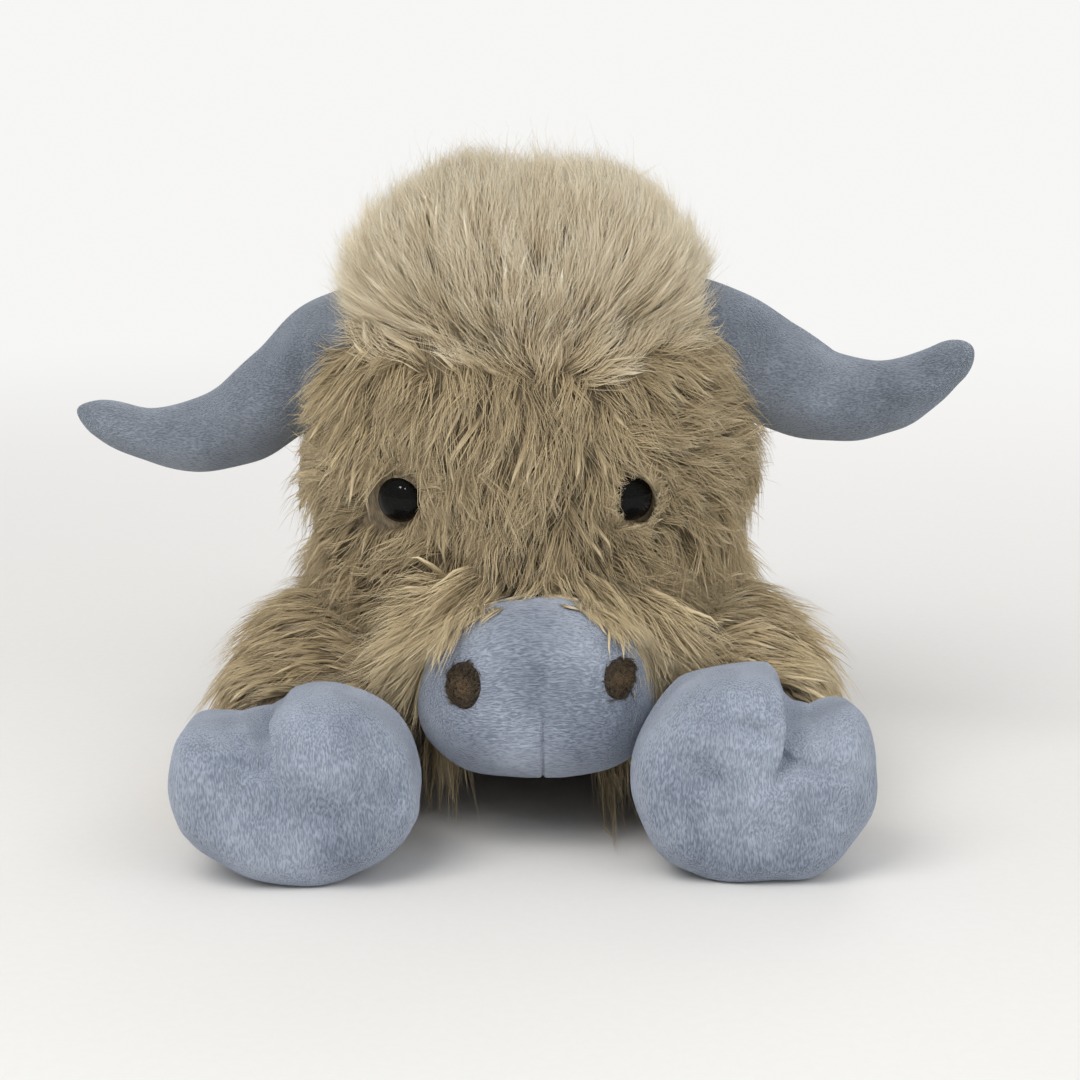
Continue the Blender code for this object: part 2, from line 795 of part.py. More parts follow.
def make_legs():
    """Four legs, each on an upright hinge at the outer edge of its seam."""
    for side, hand in HANDS.items():
        hoof = FRONT_HOOVES[side]
        shoulder = (hand * SHOULDER_X, SHOULDER_Y, FRONT_LEG_HEIGHT / 2)
        ankle = (hoof.middle_x, hoof.sole_y + hoof.length - HOOF_OVERLAP, hoof.height / 2)
        form = leg_form(
            f"front_leg_{side}", shoulder, ankle, FRONT_LEG_WIDTH, FRONT_LEG_HEIGHT, FRONT_LEG_SHARES
        )
        pieces = make_leg("front", side, form, hoof, -1, [ROUND_BODY, ABOVE_LEGS, ROUND_MUZZLE])
        hang(pieces, hinge(f"front_leg_splay_{side}", shoulder_hinge(hand)))
        hoof = HIND_HOOVES[side]
        hip = (hand * HIP_X, HIP_Y, HIND_LEG_HEIGHT / 2)
        ankle = (hoof.middle_x, hoof.sole_y - hoof.length + HOOF_OVERLAP, hoof.height / 2)
        form = leg_form(
            f"hind_leg_{side}", hip, ankle, HIND_LEG_WIDTH, HIND_LEG_HEIGHT, HIND_LEG_SHARES
        )
        pieces = make_leg("hind", side, form, hoof, 1, [ROUND_BODY])
        hang(pieces, hinge(f"hind_leg_splay_{side}", hip_hinge(hand)))


def shoulder_hinge(hand):
    return (hand * (SHOULDER_X + FRONT_LEG_WIDTH / 2), SHOULDER_Y, FRONT_LEG_HEIGHT / 2)


def hip_hinge(hand):
    return (hand * (HIP_X + HIND_LEG_WIDTH / 2), HIP_Y, HIND_LEG_HEIGHT / 2)


def make_tail():
    """A cloth tail with a long-haired tuft that rests on the floor behind the cow."""
    root_y = BODY_FRONT_Y + BODY_LENGTH - TAIL_ROOT_INSET
    path = [
        Vector((0, root_y + along * TAIL_REACH, height * TAIL_ROOT_HEIGHT))
        for along, height in TAIL_SHARES
    ]
    rings = [Ring(point, TAIL_WIDTH / 2, TAIL_WIDTH / 2) for point in path]
    tail_form = Form("tail", rings, X_AXIS, PLAIN_SIDES)
    end = path[-1]
    start = Vector((0, end.y - TUFT_LENGTH / 2, TUFT_WIDTH / 2))
    rings = [
        Ring(start + Y_AXIS * (along * TUFT_LENGTH), across * TUFT_WIDTH / 2, across * TUFT_WIDTH / 2)
        for along, across in TUFT_SHARES
    ]
    tuft_form = set_down(Form("tuft", rings, X_AXIS, PLAIN_SIDES))
    round_tail = guide("round_tail", tail_form, SEAM_GAP)
    tail = solid("tail", tail_form, FUR, [ROUND_BODY])
    tuft = solid("tail_tuft", tuft_form, FUR, [round_tail, FLOOR])
    hang([tail, tuft], hinge("tail_lift", (0, root_y, TAIL_ROOT_HEIGHT + TAIL_WIDTH / 2)))


def main():
    make_body()
    nod = make_head()
    for side in HANDS:
        make_horn(side, nod)
        make_ear(side, nod)
    make_legs()
    make_tail()


main()
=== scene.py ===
"""The looks of a plush highland cow: combed long fur, a fluffy topknot, and minky horns, muzzle and hooves.

Lengths are metres in the solid model's frame: +Z is up, the cow faces -Y and its own left side is +X.
"""

import logging
import math
from dataclasses import dataclass, replace
from enum import Enum, IntEnum
from typing import Callable, Optional, Sequence

import bpy
import numpy as np
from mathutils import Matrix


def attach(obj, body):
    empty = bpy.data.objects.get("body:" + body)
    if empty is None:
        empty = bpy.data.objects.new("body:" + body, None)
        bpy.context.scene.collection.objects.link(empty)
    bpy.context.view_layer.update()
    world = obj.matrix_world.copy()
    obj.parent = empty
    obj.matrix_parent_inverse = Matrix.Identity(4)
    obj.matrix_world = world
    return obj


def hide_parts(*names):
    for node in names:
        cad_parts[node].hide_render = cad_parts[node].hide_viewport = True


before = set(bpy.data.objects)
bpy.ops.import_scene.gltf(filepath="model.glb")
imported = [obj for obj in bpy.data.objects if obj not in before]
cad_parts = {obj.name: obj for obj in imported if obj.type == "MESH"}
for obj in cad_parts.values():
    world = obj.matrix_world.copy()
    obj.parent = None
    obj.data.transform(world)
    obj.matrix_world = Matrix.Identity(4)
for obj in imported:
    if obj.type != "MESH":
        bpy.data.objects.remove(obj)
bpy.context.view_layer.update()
PALETTE_MAP = "OFBake"
LOG = logging.getLogger("plush_cow")

Array = np.ndarray
Socket = bpy.types.NodeSocket
UP = np.array([0.0, 0.0, 1.0])
ACROSS = np.array([1.0, 0.0, 0.0])
BACKWARDS = np.array([0.0, 1.0, 0.0])


class Side(Enum):
    """The cow's own left and right, with the sign of X on that side."""

    LEFT = ("left", 1.0)
    RIGHT = ("right", -1.0)

    @property
    def word(self) -> str:
        """The side's name, as nodes and bodies use it."""
        return self.value[0]

    @property
    def hand(self) -> float:
        """1 on the cow's left and -1 on its right."""
        return self.value[1]


class End(Enum):
    """The cow's two ends, as the legs' nodes and bodies name them."""

    FRONT = "front"
    HIND = "hind"


class Seed(IntEnum):
    """Where the randomness of each fur starts."""

    HEAD_FUR = 101
    CHIN_TUFTS = 104
    EYELIDS = 105
    TOPKNOT = 202
    HAIRLINE = 203
    NOSTRILS = 300
    FRINGE = 303
    WISPS = 304
    LEGS = 400
    BODY = 505
    TAIL = 606
    EARS = 700
    TUFT = 710


def unit(vectors: Array) -> Array:
    """Vectors of length one: each vector over its own length."""
    return vectors / np.maximum(np.linalg.norm(vectors, axis=-1, keepdims=True), 1e-12)


def dot(first: Array, second: Array) -> Array:
    """The products of two rows of vectors, kept as a column."""
    return np.sum(first * second, axis=-1, keepdims=True)


def step(values: Array, low: float, high: float) -> Array:
    """A smooth step from 0 at low to 1 at high: 3 s^2 - 2 s^3, with s the share of the way."""
    share = np.clip((values - low) / (high - low), 0, 1)
    return share * share * (3 - 2 * share)


def eased(table: Array, places: Array) -> Array:
    """Reads a table at any places along a smooth curve through its rows.

    Formula: between two rows, the cubic that meets both rows and whose slopes there are the table's own.

    Args:
        table: rows of a place, in rising order, and its values.
        places: where the table is read.

    Returns:
        A row of values for each place.
    """
    at, values = table[:, 0], table[:, 1:]
    slopes = np.gradient(values, at, axis=0)
    row = np.clip(np.searchsorted(at, places, side="right") - 1, 0, len(at) - 2)
    width = (at[row + 1] - at[row])[:, None]
    share = np.clip((places - at[row])[:, None] / width, 0, 1)
    square, cube = share**2, share**3
    return (
        (2 * cube - 3 * square + 1) * values[row]
        + (cube - 2 * square + share) * width * slopes[row]
        + (3 * square - 2 * cube) * values[row + 1]
        + (cube - square) * width * slopes[row + 1]
    )


def above_floor(points: Array, soft: float) -> Array:
    """Presses points up onto the floor: below the height `soft`, z becomes soft * exp(z / soft - 1).

    Args:
        points: places in the frame.
        soft: the height below which they are pressed.

    Returns:
        The places, with none below the floor.
    """
    raised = points.copy()
    heights = points[..., 2]
    pressed = soft * np.exp(np.minimum(heights / soft - 1, 0))
    raised[..., 2] = np.where(heights < soft, pressed, heights)
    return raised


def lumps(points: Array, size: float, seed: int, waves: int = 6) -> Array:
    """Slow swells of about -1 to 1 over the points: twice the mean of sine waves of about one size.

    Args:
        points: places in the frame.
        size: the length of a wave.
        seed: which set of waves.
        waves: how many there are.

    Returns:
        A height for each point.
    """
    rng = np.random.default_rng(seed)
    slopes = unit(rng.normal(size=(waves, 3))) * rng.uniform(0.7, 1.4, (waves, 1)) * math.tau / size
    phases = rng.uniform(0, math.tau, waves)
    return np.sin(points @ slopes.T + phases).mean(axis=-1) * 2


class Nodes:
    """A material that is put together node by node."""

    def __init__(self, name: str) -> None:
        """Starts a material that holds only its output.

        Args:
            name: the material's name.
        """
        self.material = bpy.data.materials.new(name)
        self.material.use_nodes = True
        self.tree = self.material.node_tree
        self.tree.nodes.clear()
        self.output = self.add("ShaderNodeOutputMaterial")

    def add(self, kind: str, inputs: Optional[dict] = None, **settings: object) -> bpy.types.Node:
        """Adds a node.

        Args:
            kind: the node's type.
            inputs: values of its sockets, by name, where a socket's value is linked.
            settings: the node's own properties.

        Returns:
            The node.
        """
        node = self.tree.nodes.new(kind)
        for key, value in settings.items():
            setattr(node, key, value)
        for key, value in (inputs or {}).items():
            if isinstance(value, Socket):
                self.tree.links.new(value, node.inputs[key])
            else:
                node.inputs[key].default_value = value
        return node

    def noise(self, vector: Socket, scale: float, detail: float = 2.0) -> Socket:
        """Adds a noise on a vector and returns its 0 to 1 value."""
        made = self.add("ShaderNodeTexNoise", {"Vector": vector, "Scale": scale, "Detail": detail})
        return made.outputs["Fac"]

    def smooth(self, value: Socket, low: float, high: float) -> Socket:
        """Adds a smooth step of a value, from 0 at low to 1 at high, and returns its result."""
        inputs = {"Value": value, "From Min": low, "From Max": high}
        return self.add("ShaderNodeMapRange", inputs, interpolation_type="SMOOTHSTEP").outputs["Result"]

    def ramp(self, value: Socket, stops: Sequence[tuple]) -> Socket:
        """Adds a colour ramp on a value.

        Args:
            value: where on the ramp the colour is read.
            stops: places from 0 to 1, each with its colour.

        Returns:
            The colour.
        """
        made = self.add("ShaderNodeValToRGB", {"Fac": value})
        elements = made.color_ramp.elements
        while len(elements) < len(stops):
            elements.new(0.5)
        for element, (place, colour) in zip(elements, stops):
            element.position = place
            element.color = (*colour, 1)
        return made.outputs["Color"]

    def math(self, operation: str, first: object, second: object = 0.0) -> Socket:
        """Adds a sum of two values or sockets and returns its result."""
        return self.add("ShaderNodeMath", {0: first, 1: second}, operation=operation).outputs[0]

    def vector(self, operation: str, inputs: dict) -> bpy.types.Node:
        """Adds a sum of vectors and returns its node."""
        return self.add("ShaderNodeVectorMath", inputs, operation=operation)

    def surface(self, shader: Socket) -> bpy.types.Material:
        """Ends in this shader and returns the material."""
        self.tree.links.new(shader, self.output.inputs["Surface"])
        return self.material

    def shaded(self, inputs: dict) -> bpy.types.Material:
        """Ends in one principled shader with these inputs and returns the material."""
        return self.surface(self.add("ShaderNodeBsdfPrincipled", inputs).outputs["BSDF"])


@dataclass(frozen=True)
class FurFinish:
    """Dyed pile: each strand runs from a dark root, which is painted shade deep in the pile, to a pale tip,
    between a dark and a pale shade.

    The colour is read from the strands' own palette map, whose rows all hold the same run of colours: U is
    the strand's shade and V, over a row, its place from the root to the tip.
    """

    name: str
    slot: str
    dark_shade: tuple
    pale_shade: tuple
    rows: int = 4
    streaks: float = 0.36
    streak_scale: tuple = (150.0, 11.0, 1.0)
    roughness: float = 0.66

    def build(self) -> bpy.types.Material:
        """Builds the material."""
        nodes = Nodes(self.name)
        palette = nodes.add("ShaderNodeUVMap", uv_map=PALETTE_MAP).outputs["UV"]
        parts = nodes.add("ShaderNodeSeparateXYZ", {"Vector": palette})
        along = nodes.math("FRACT", nodes.math("MULTIPLY", parts.outputs["Y"], float(self.rows)))
        drawn = nodes.add("ShaderNodeMapping", {"Vector": palette, "Scale": self.streak_scale})
        hairs = nodes.noise(drawn.outputs["Vector"], 1.0, 2.0)
        strayed = nodes.math("MULTIPLY_ADD", hairs, self.streaks)
        strayed.node.inputs[2].default_value = -self.streaks / 2
        shade = nodes.math("ADD", parts.outputs["X"], strayed)
        bump = nodes.add("ShaderNodeBump", {"Strength": 0.6, "Distance": 0.0003, "Height": hairs})
        shades = {"A": nodes.ramp(along, self.dark_shade), "B": nodes.ramp(along, self.pale_shade)}
        mix = nodes.add("ShaderNodeMix", {"Factor": shade, **shades}, data_type="RGBA")
        return nodes.shaded(
            {
                "Base Color": mix.outputs["Result"],
                "Roughness": self.roughness,
                "Specular IOR Level": 0.28,
                "Sheen Weight": 0.25,
                "Sheen Roughness": 0.5,
                "Sheen Tint": (0.95, 0.88, 0.74, 1),
                "Normal": bump.outputs["Normal"],
            }
        )


@dataclass(frozen=True)
class BackingFinish:
    """The knitted backing under the pile, coloured as painted shade: the dim colour that shows between
    locks.
    """

    name: str
    slot: str
    dark: tuple
    pale: tuple
    grain_scale: float = 900.0

    def build(self) -> bpy.types.Material:
        """Builds the material."""
        nodes = Nodes(self.name)
        place = nodes.add("ShaderNodeTexCoord").outputs["Object"]
        streaks = nodes.add("ShaderNodeMapping", {"Vector": place, "Scale": (1.0, 1.0, 0.22)})
        grain = nodes.noise(streaks.outputs["Vector"], self.grain_scale, 3.0)
        colour = nodes.ramp(grain, ((0.35, self.dark), (0.68, self.pale)))
        bump = nodes.add("ShaderNodeBump", {"Strength": 0.8, "Distance": 0.0012, "Height": grain})
        return nodes.shaded(
            {"Base Color": colour, "Roughness": 0.9, "Normal": bump.outputs["Normal"], "Sheen Weight": 0.2}
        )


@dataclass(frozen=True)
class MinkyFinish:
    """Short brushed pile: crisp fine wriggling ribs, patches brushed light and dark, and a sheen at edges.

    `ribs` are the pattern's scales along X, Y and Z: the ribs run along the axis with the least.
    """

    name: str
    ribs: tuple
    dark: tuple = (0.150, 0.178, 0.235)
    middle: tuple = (0.285, 0.326, 0.405)
    pale: tuple = (0.455, 0.505, 0.605)
    swirl: float = 0.0042
    swirl_scale: float = 60.0
    patch_scale: float = 42.0
    fibre_scale: float = 3600.0
    slot: str = "minky"

    def build(self) -> bpy.types.Material:
        """Builds the material."""
        nodes = Nodes(self.name)
        place = nodes.add("ShaderNodeTexCoord").outputs["Object"]
        swirl = nodes.add("ShaderNodeTexNoise", {"Vector": place, "Scale": self.swirl_scale, "Detail": 1.0})
        centred = nodes.vector("SUBTRACT", {0: swirl.outputs["Color"], 1: (0.5, 0.5, 0.5)})
        scaled = nodes.vector("SCALE", {0: centred.outputs[0], "Scale": self.swirl})
        bent = nodes.vector("ADD", {0: place, 1: scaled.outputs[0]})
        ribbed = nodes.add("ShaderNodeMapping", {"Vector": bent.outputs[0], "Scale": self.ribs})
        ribs = nodes.smooth(nodes.noise(ribbed.outputs["Vector"], 1.0, 1.0), 0.28, 0.70)
        patches = nodes.noise(place, self.patch_scale, 3.0)
        fibres = nodes.noise(place, self.fibre_scale, 2.0)
        height = nodes.math("ADD", ribs, nodes.math("MULTIPLY", fibres, 0.5))
        fine, broad = nodes.math("MULTIPLY", height, 0.30), nodes.math("MULTIPLY", patches, 0.80)
        brushed = nodes.math("ADD", fine, broad)
        colour = nodes.ramp(brushed, ((0.36, self.dark), (0.62, self.middle), (0.92, self.pale)))
        bump = nodes.add("ShaderNodeBump", {"Strength": 0.85, "Distance": 0.00045, "Height": height})
        return nodes.shaded(
            {
                "Base Color": colour,
                "Roughness": 0.78,
                "Specular IOR Level": 0.25,
                "Sheen Weight": 0.6,
                "Sheen Roughness": 0.38,
                "Sheen Tint": (0.80, 0.87, 1.0, 1),
                "Normal": bump.outputs["Normal"],
            }
        )


@dataclass(frozen=True)
class GlossFinish:
    """Moulded plastic with a faint haze of dust and fine scuffs."""

    name: str
    slot: str
    colour: tuple
    clear: float
    hazy: float
    gloss: float = 0.5

    def build(self) -> bpy.types.Material:
        """Builds the material."""
        nodes = Nodes(self.name)
        place = nodes.add("ShaderNodeTexCoord").outputs["Object"]
        dust = nodes.noise(place, 1500.0, 4.0)
        haze = nodes.add(
            "ShaderNodeMapRange",
            {"Value": dust, "From Min": 0.45, "From Max": 0.75, "To Min": self.clear, "To Max": self.hazy},
        )
        speck = tuple(min(1.0, part * 1.6 + 0.004) for part in self.colour)
        colour = nodes.ramp(dust, ((0.5, self.colour), (0.85, speck)))
        return nodes.shaded(
            {"Base Color": colour, "Roughness": haze.outputs["Result"], "Specular IOR Level": self.gloss}
        )


@dataclass(frozen=True)
class StageFinish:
    """A matte pale floor that fades, far from the cow, into the white that the camera sees around it."""

    name: str
    colour: tuple = (0.80, 0.79, 0.775)
    white: tuple = (0.93, 0.925, 0.915)
    near: float = 0.22
    far: float = 1.15

    def build(self) -> bpy.types.Material:
        """Builds the material."""
        nodes = Nodes(self.name)
        place = nodes.add("ShaderNodeTexCoord").outputs["Object"]
        grain = nodes.noise(place, 300.0, 2.0)
        colour = nodes.ramp(grain, ((0.3, tuple(part * 0.985 for part in self.colour)), (0.7, self.colour)))
        matte = nodes.add("ShaderNodeBsdfDiffuse", {"Color": colour})
        glow = nodes.add("ShaderNodeEmission", {"Color": (*self.white, 1), "Strength": 1.0})
        path = nodes.add("ShaderNodeLightPath")
        seen = nodes.math("MAXIMUM", path.outputs["Is Camera Ray"], path.outputs["Is Glossy Ray"])
        seen = nodes.math("MAXIMUM", seen, path.outputs["Is Transmission Ray"])
        distance = nodes.vector("LENGTH", {0: place}).outputs["Value"]
        share = nodes.math("MULTIPLY", nodes.smooth(distance, self.near, self.far), seen)
        mix = nodes.add("ShaderNodeMixShader", {0: share, 1: matte.outputs[0], 2: glow.outputs[0]})
        return nodes.surface(mix.outputs[0])


# In each fur's ramps below, place 0 is the root and 1 the tip: the dark stops at the root are painted shade
# deep in the pile.
TAN_FUR = FurFinish(
    "combed tan fur",
    "tan_fur",
    dark_shade=(
        (0.0, (0.125, 0.090, 0.047)),
        (0.35, (0.320, 0.240, 0.132)),
        (0.72, (0.520, 0.402, 0.232)),
        (1.0, (0.640, 0.515, 0.315)),
    ),
    pale_shade=(
        (0.0, (0.250, 0.186, 0.102)),
        (0.35, (0.640, 0.508, 0.300)),
        (0.72, (0.860, 0.715, 0.460)),
        (1.0, (0.930, 0.830, 0.600)),
    ),
)
PALE_FUR = FurFinish(
    "pale topknot fur",
    "pale_fur",
    dark_shade=(
        (0.0, (0.470, 0.360, 0.208)),
        (0.35, (0.680, 0.545, 0.335)),
        (0.72, (0.820, 0.685, 0.462)),
        (1.0, (0.890, 0.785, 0.590)),
    ),
    pale_shade=(
        (0.0, (0.660, 0.525, 0.330)),
        (0.35, (0.870, 0.745, 0.520)),
        (0.72, (0.940, 0.862, 0.680)),
        (1.0, (0.970, 0.940, 0.840)),
    ),
    streaks=0.26,
)
BROWN_FUZZ = FurFinish(
    "brown nostril plush",
    "brown_plush",
    dark_shade=((0.0, (0.008, 0.005, 0.003)), (0.5, (0.022, 0.013, 0.008)), (1.0, (0.050, 0.031, 0.017))),
    pale_shade=((0.0, (0.040, 0.024, 0.012)), (0.5, (0.190, 0.120, 0.060)), (1.0, (0.400, 0.275, 0.150))),
)
# The backings' colours are painted shade: the dim colour of the gaps between the pile's locks.
TAN_BACKING = BackingFinish("tan fur backing", "tan_fur", (0.105, 0.078, 0.042), (0.260, 0.198, 0.115))
PALE_BACKING = BackingFinish("pale fur backing", "pale_fur", (0.360, 0.285, 0.170), (0.600, 0.500, 0.330))
BROWN_BACKING = BackingFinish(
    "brown plush backing", "brown_plush", (0.006, 0.004, 0.002), (0.030, 0.019, 0.010), grain_scale=1800.0
)
UPRIGHT_MINKY = MinkyFinish("grey minky, ribs upright", ribs=(2300.0, 2300.0, 500.0))
# The muzzle's grey minky is a darker copy of the hooves' own minky: the darkening is painted shade.
MUZZLE_MINKY_PAINTED_SHADE = MinkyFinish(
    "grey minky, ribs across",
    ribs=(430.0, 1800.0, 2300.0),
    dark=(0.135, 0.158, 0.208),
    middle=(0.255, 0.290, 0.360),
    pale=(0.410, 0.455, 0.545),
)
# The horns' grey minky is a darker copy of the hooves' own minky: the darkening is painted shade.
HORN_MINKY_PAINTED_SHADE = MinkyFinish(
    "grey minky, ribs along",
    ribs=(800.0, 2400.0, 2400.0),
    dark=(0.105, 0.122, 0.150),
    middle=(0.185, 0.212, 0.252),
    pale=(0.290, 0.325, 0.380),
)
BLACK_GLOSS = GlossFinish(
    "black safety eye", "black_gloss", (0.0030, 0.0028, 0.0026), clear=0.05, hazy=0.14, gloss=0.13
)
WASHER_PLASTIC = GlossFinish(
    "white washer plastic", "washer_plastic", (0.75, 0.75, 0.73), clear=0.40, hazy=0.55
)


class Wardrobe:
    """Each finish's material, built once."""

    def __init__(self) -> None:
        """Starts with nothing built."""
        self.built: dict = {}

    def material(self, finish: object) -> bpy.types.Material:
        """The material of a finish."""
        if finish not in self.built:
            self.built[finish] = finish.build()
        return self.built[finish]


WARDROBE = Wardrobe()


def settle(
    piece: bpy.types.Object, body: str, slot: str, nodes: Sequence[str]
) -> None:
    """Puts a finished piece on its body.

    Args:
        piece: the object.
        body: the body that carries it.
        slot: not used.
        nodes: the solids that it stands for.
    """
    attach(piece, body)
    if nodes:
        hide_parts(*nodes)
    LOG.info("%s: %d faces on %s", piece.name, len(piece.data.polygons), body)


@dataclass
class Shape:
    """A mesh before it is an object: vertices, quads, triangles and a palette place for each corner."""

    vertices: Array
    quads: Array
    triangles: Array
    palette: Optional[Array] = None

    @classmethod
    def joined(cls, shapes: Sequence["Shape"]) -> "Shape":
        """Shapes with palettes as one shape.

        Args:
            shapes: what is joined.

        Returns:
            The shape, whose palette has the corners of all quads first.
        """
        starts = np.cumsum([0, *(len(shape.vertices) for shape in shapes[:-1])])
        splits = [4 * len(shape.quads) for shape in shapes]
        quad_places = [shape.palette[:split] for shape, split in zip(shapes, splits)]
        triangle_places = [shape.palette[split:] for shape, split in zip(shapes, splits)]
        return cls(
            np.concatenate([shape.vertices for shape in shapes]),
            np.concatenate([shape.quads + start for shape, start in zip(shapes, starts)]),
            np.concatenate([shape.triangles + start for shape, start in zip(shapes, starts)]),
            np.concatenate([*quad_places, *triangle_places]),
        )

    def dress(
        self, name: str, finish: object, body: str, nodes: Sequence[str] = (), fill: Optional[float] = None
    ) -> None:
        """Makes the shape a piece of the cow, at the origin and smooth.

        Args:
            name: the piece's name.
            finish: the finish that it wears.
            body: the body that carries it.
            nodes: the solids that it stands for.
            fill: not used.
        """
        mesh = bpy.data.meshes.new(name)
        corners = np.concatenate([self.quads.ravel(), self.triangles.ravel()]).astype(np.int32)
        quad_starts = np.arange(len(self.quads)) * 4
        triangle_starts = len(self.quads) * 4 + np.arange(len(self.triangles)) * 3
        starts = np.concatenate([quad_starts, triangle_starts]).astype(np.int32)
        mesh.vertices.add(len(self.vertices))
        mesh.vertices.foreach_set("co", self.vertices.astype(np.float32).ravel())
        mesh.loops.add(len(corners))
        mesh.loops.foreach_set("vertex_index", corners)
        mesh.polygons.add(len(starts))
        mesh.polygons.foreach_set("loop_start", starts)
        if self.palette is not None:
            layer = mesh.uv_layers.new(name=PALETTE_MAP)
            layer.data.foreach_set("uv", self.palette.astype(np.float32).ravel())
        mesh.update(calc_edges=True)
        mesh.shade_smooth()
        mesh.materials.append(WARDROBE.material(finish))
        piece = bpy.data.objects.new(name, mesh)
        bpy.context.scene.collection.objects.link(piece)
        settle(piece, body, finish.slot, nodes)


class Skin:
    """A closed surface as a grid of points: each row is a ring, and the first and last are its poles."""

    def __init__(self, points: Array) -> None:
        """Works out which way the surface's faces point.

        Args:
            points: the grid, of rows by sides by 3.
        """
        self.points = points
        around = np.roll(points, -1, axis=1) - np.roll(points, 1, axis=1)
        along = np.gradient(points, axis=0)
        normals = unit(np.cross(around, along))
        outwards = points - points.mean(axis=1, keepdims=True)
        self.hand = np.sign(np.sum(normals[1:-1] * outwards[1:-1]))
        normals *= self.hand
        normals[0] = unit(normals[1].mean(axis=0))
        normals[-1] = unit(normals[-2].mean(axis=0))
        self.normals = normals

    def moved(self, distance: Array) -> "Skin":
        """The surface pushed out along its normals.

        Args:
            distance: how far each point moves.

        Returns:
            The new surface.
        """
        distance = np.array(distance, float)
        distance[0] = distance[0].mean()
        distance[-1] = distance[-1].mean()
        return Skin(self.points + self.normals * distance[..., None])

    def on_floor(self, soft: float) -> "Skin":
        """The surface pressed up onto the floor."""
        return Skin(above_floor(self.points, soft))

    def shape(self) -> Shape:
        """The surface as a mesh: quads between its rings, and a fan of triangles at each pole."""
        rows, sides, _ = self.points.shape
        inner = self.points[1:-1].reshape(-1, 3)
        vertices = np.concatenate([self.points[0, :1], inner, self.points[-1, :1]])
        ring = np.arange(sides)
        after = (ring + 1) % sides
        starts = 1 + np.arange(rows - 3)[:, None] * sides
        quads = np.stack([starts + ring, starts + after, starts + sides + after, starts + sides + ring], -1)
        first = np.stack([np.zeros_like(ring), 1 + after, 1 + ring], -1)
        top = 1 + (rows - 3) * sides
        last = np.stack([top + ring, top + after, np.full_like(ring, len(vertices) - 1)], -1)
        quads, triangles = quads.reshape(-1, 4), np.concatenate([first, last])
        if self.hand < 0:
            quads, triangles = quads[:, ::-1], triangles[:, ::-1]
        return Shape(vertices, quads, triangles)

    def scatter(self, count: int, rng: np.random.Generator, weight: Optional[Callable] = None) -> tuple:
        """Random places over the surface.

        Args:
            count: how many places.
            rng: where the randomness comes from.
            weight: the wanted density at each of the points and normals that it is given.

        Returns:
            The places and the surface's directions there.
        """
        points, normals = self.points, self.normals
        beside = np.roll(points, -1, axis=1)
        diagonals = np.cross(points[1:] - beside[:-1], beside[1:] - points[:-1])
        share = np.linalg.norm(diagonals, axis=-1)
        if weight is not None:
            flat = points[:-1].reshape(-1, 3), normals[:-1].reshape(-1, 3)
            share = share * weight(*flat).reshape(share.shape)
        share = share.ravel() / share.sum()
        row, side = np.divmod(rng.choice(len(share), count, p=share), points.shape[1])
        after = (side + 1) % points.shape[1]
        down, over = rng.random((2, count, 1))

        def between(grid: Array) -> Array:
            """The grid's value between four neighbours: a blend down and over."""
            near = grid[row, side] * (1 - over) + grid[row, after] * over
            far = grid[row + 1, side] * (1 - over) + grid[row + 1, after] * over
            return near * (1 - down) + far * down

        return between(points), unit(between(normals))


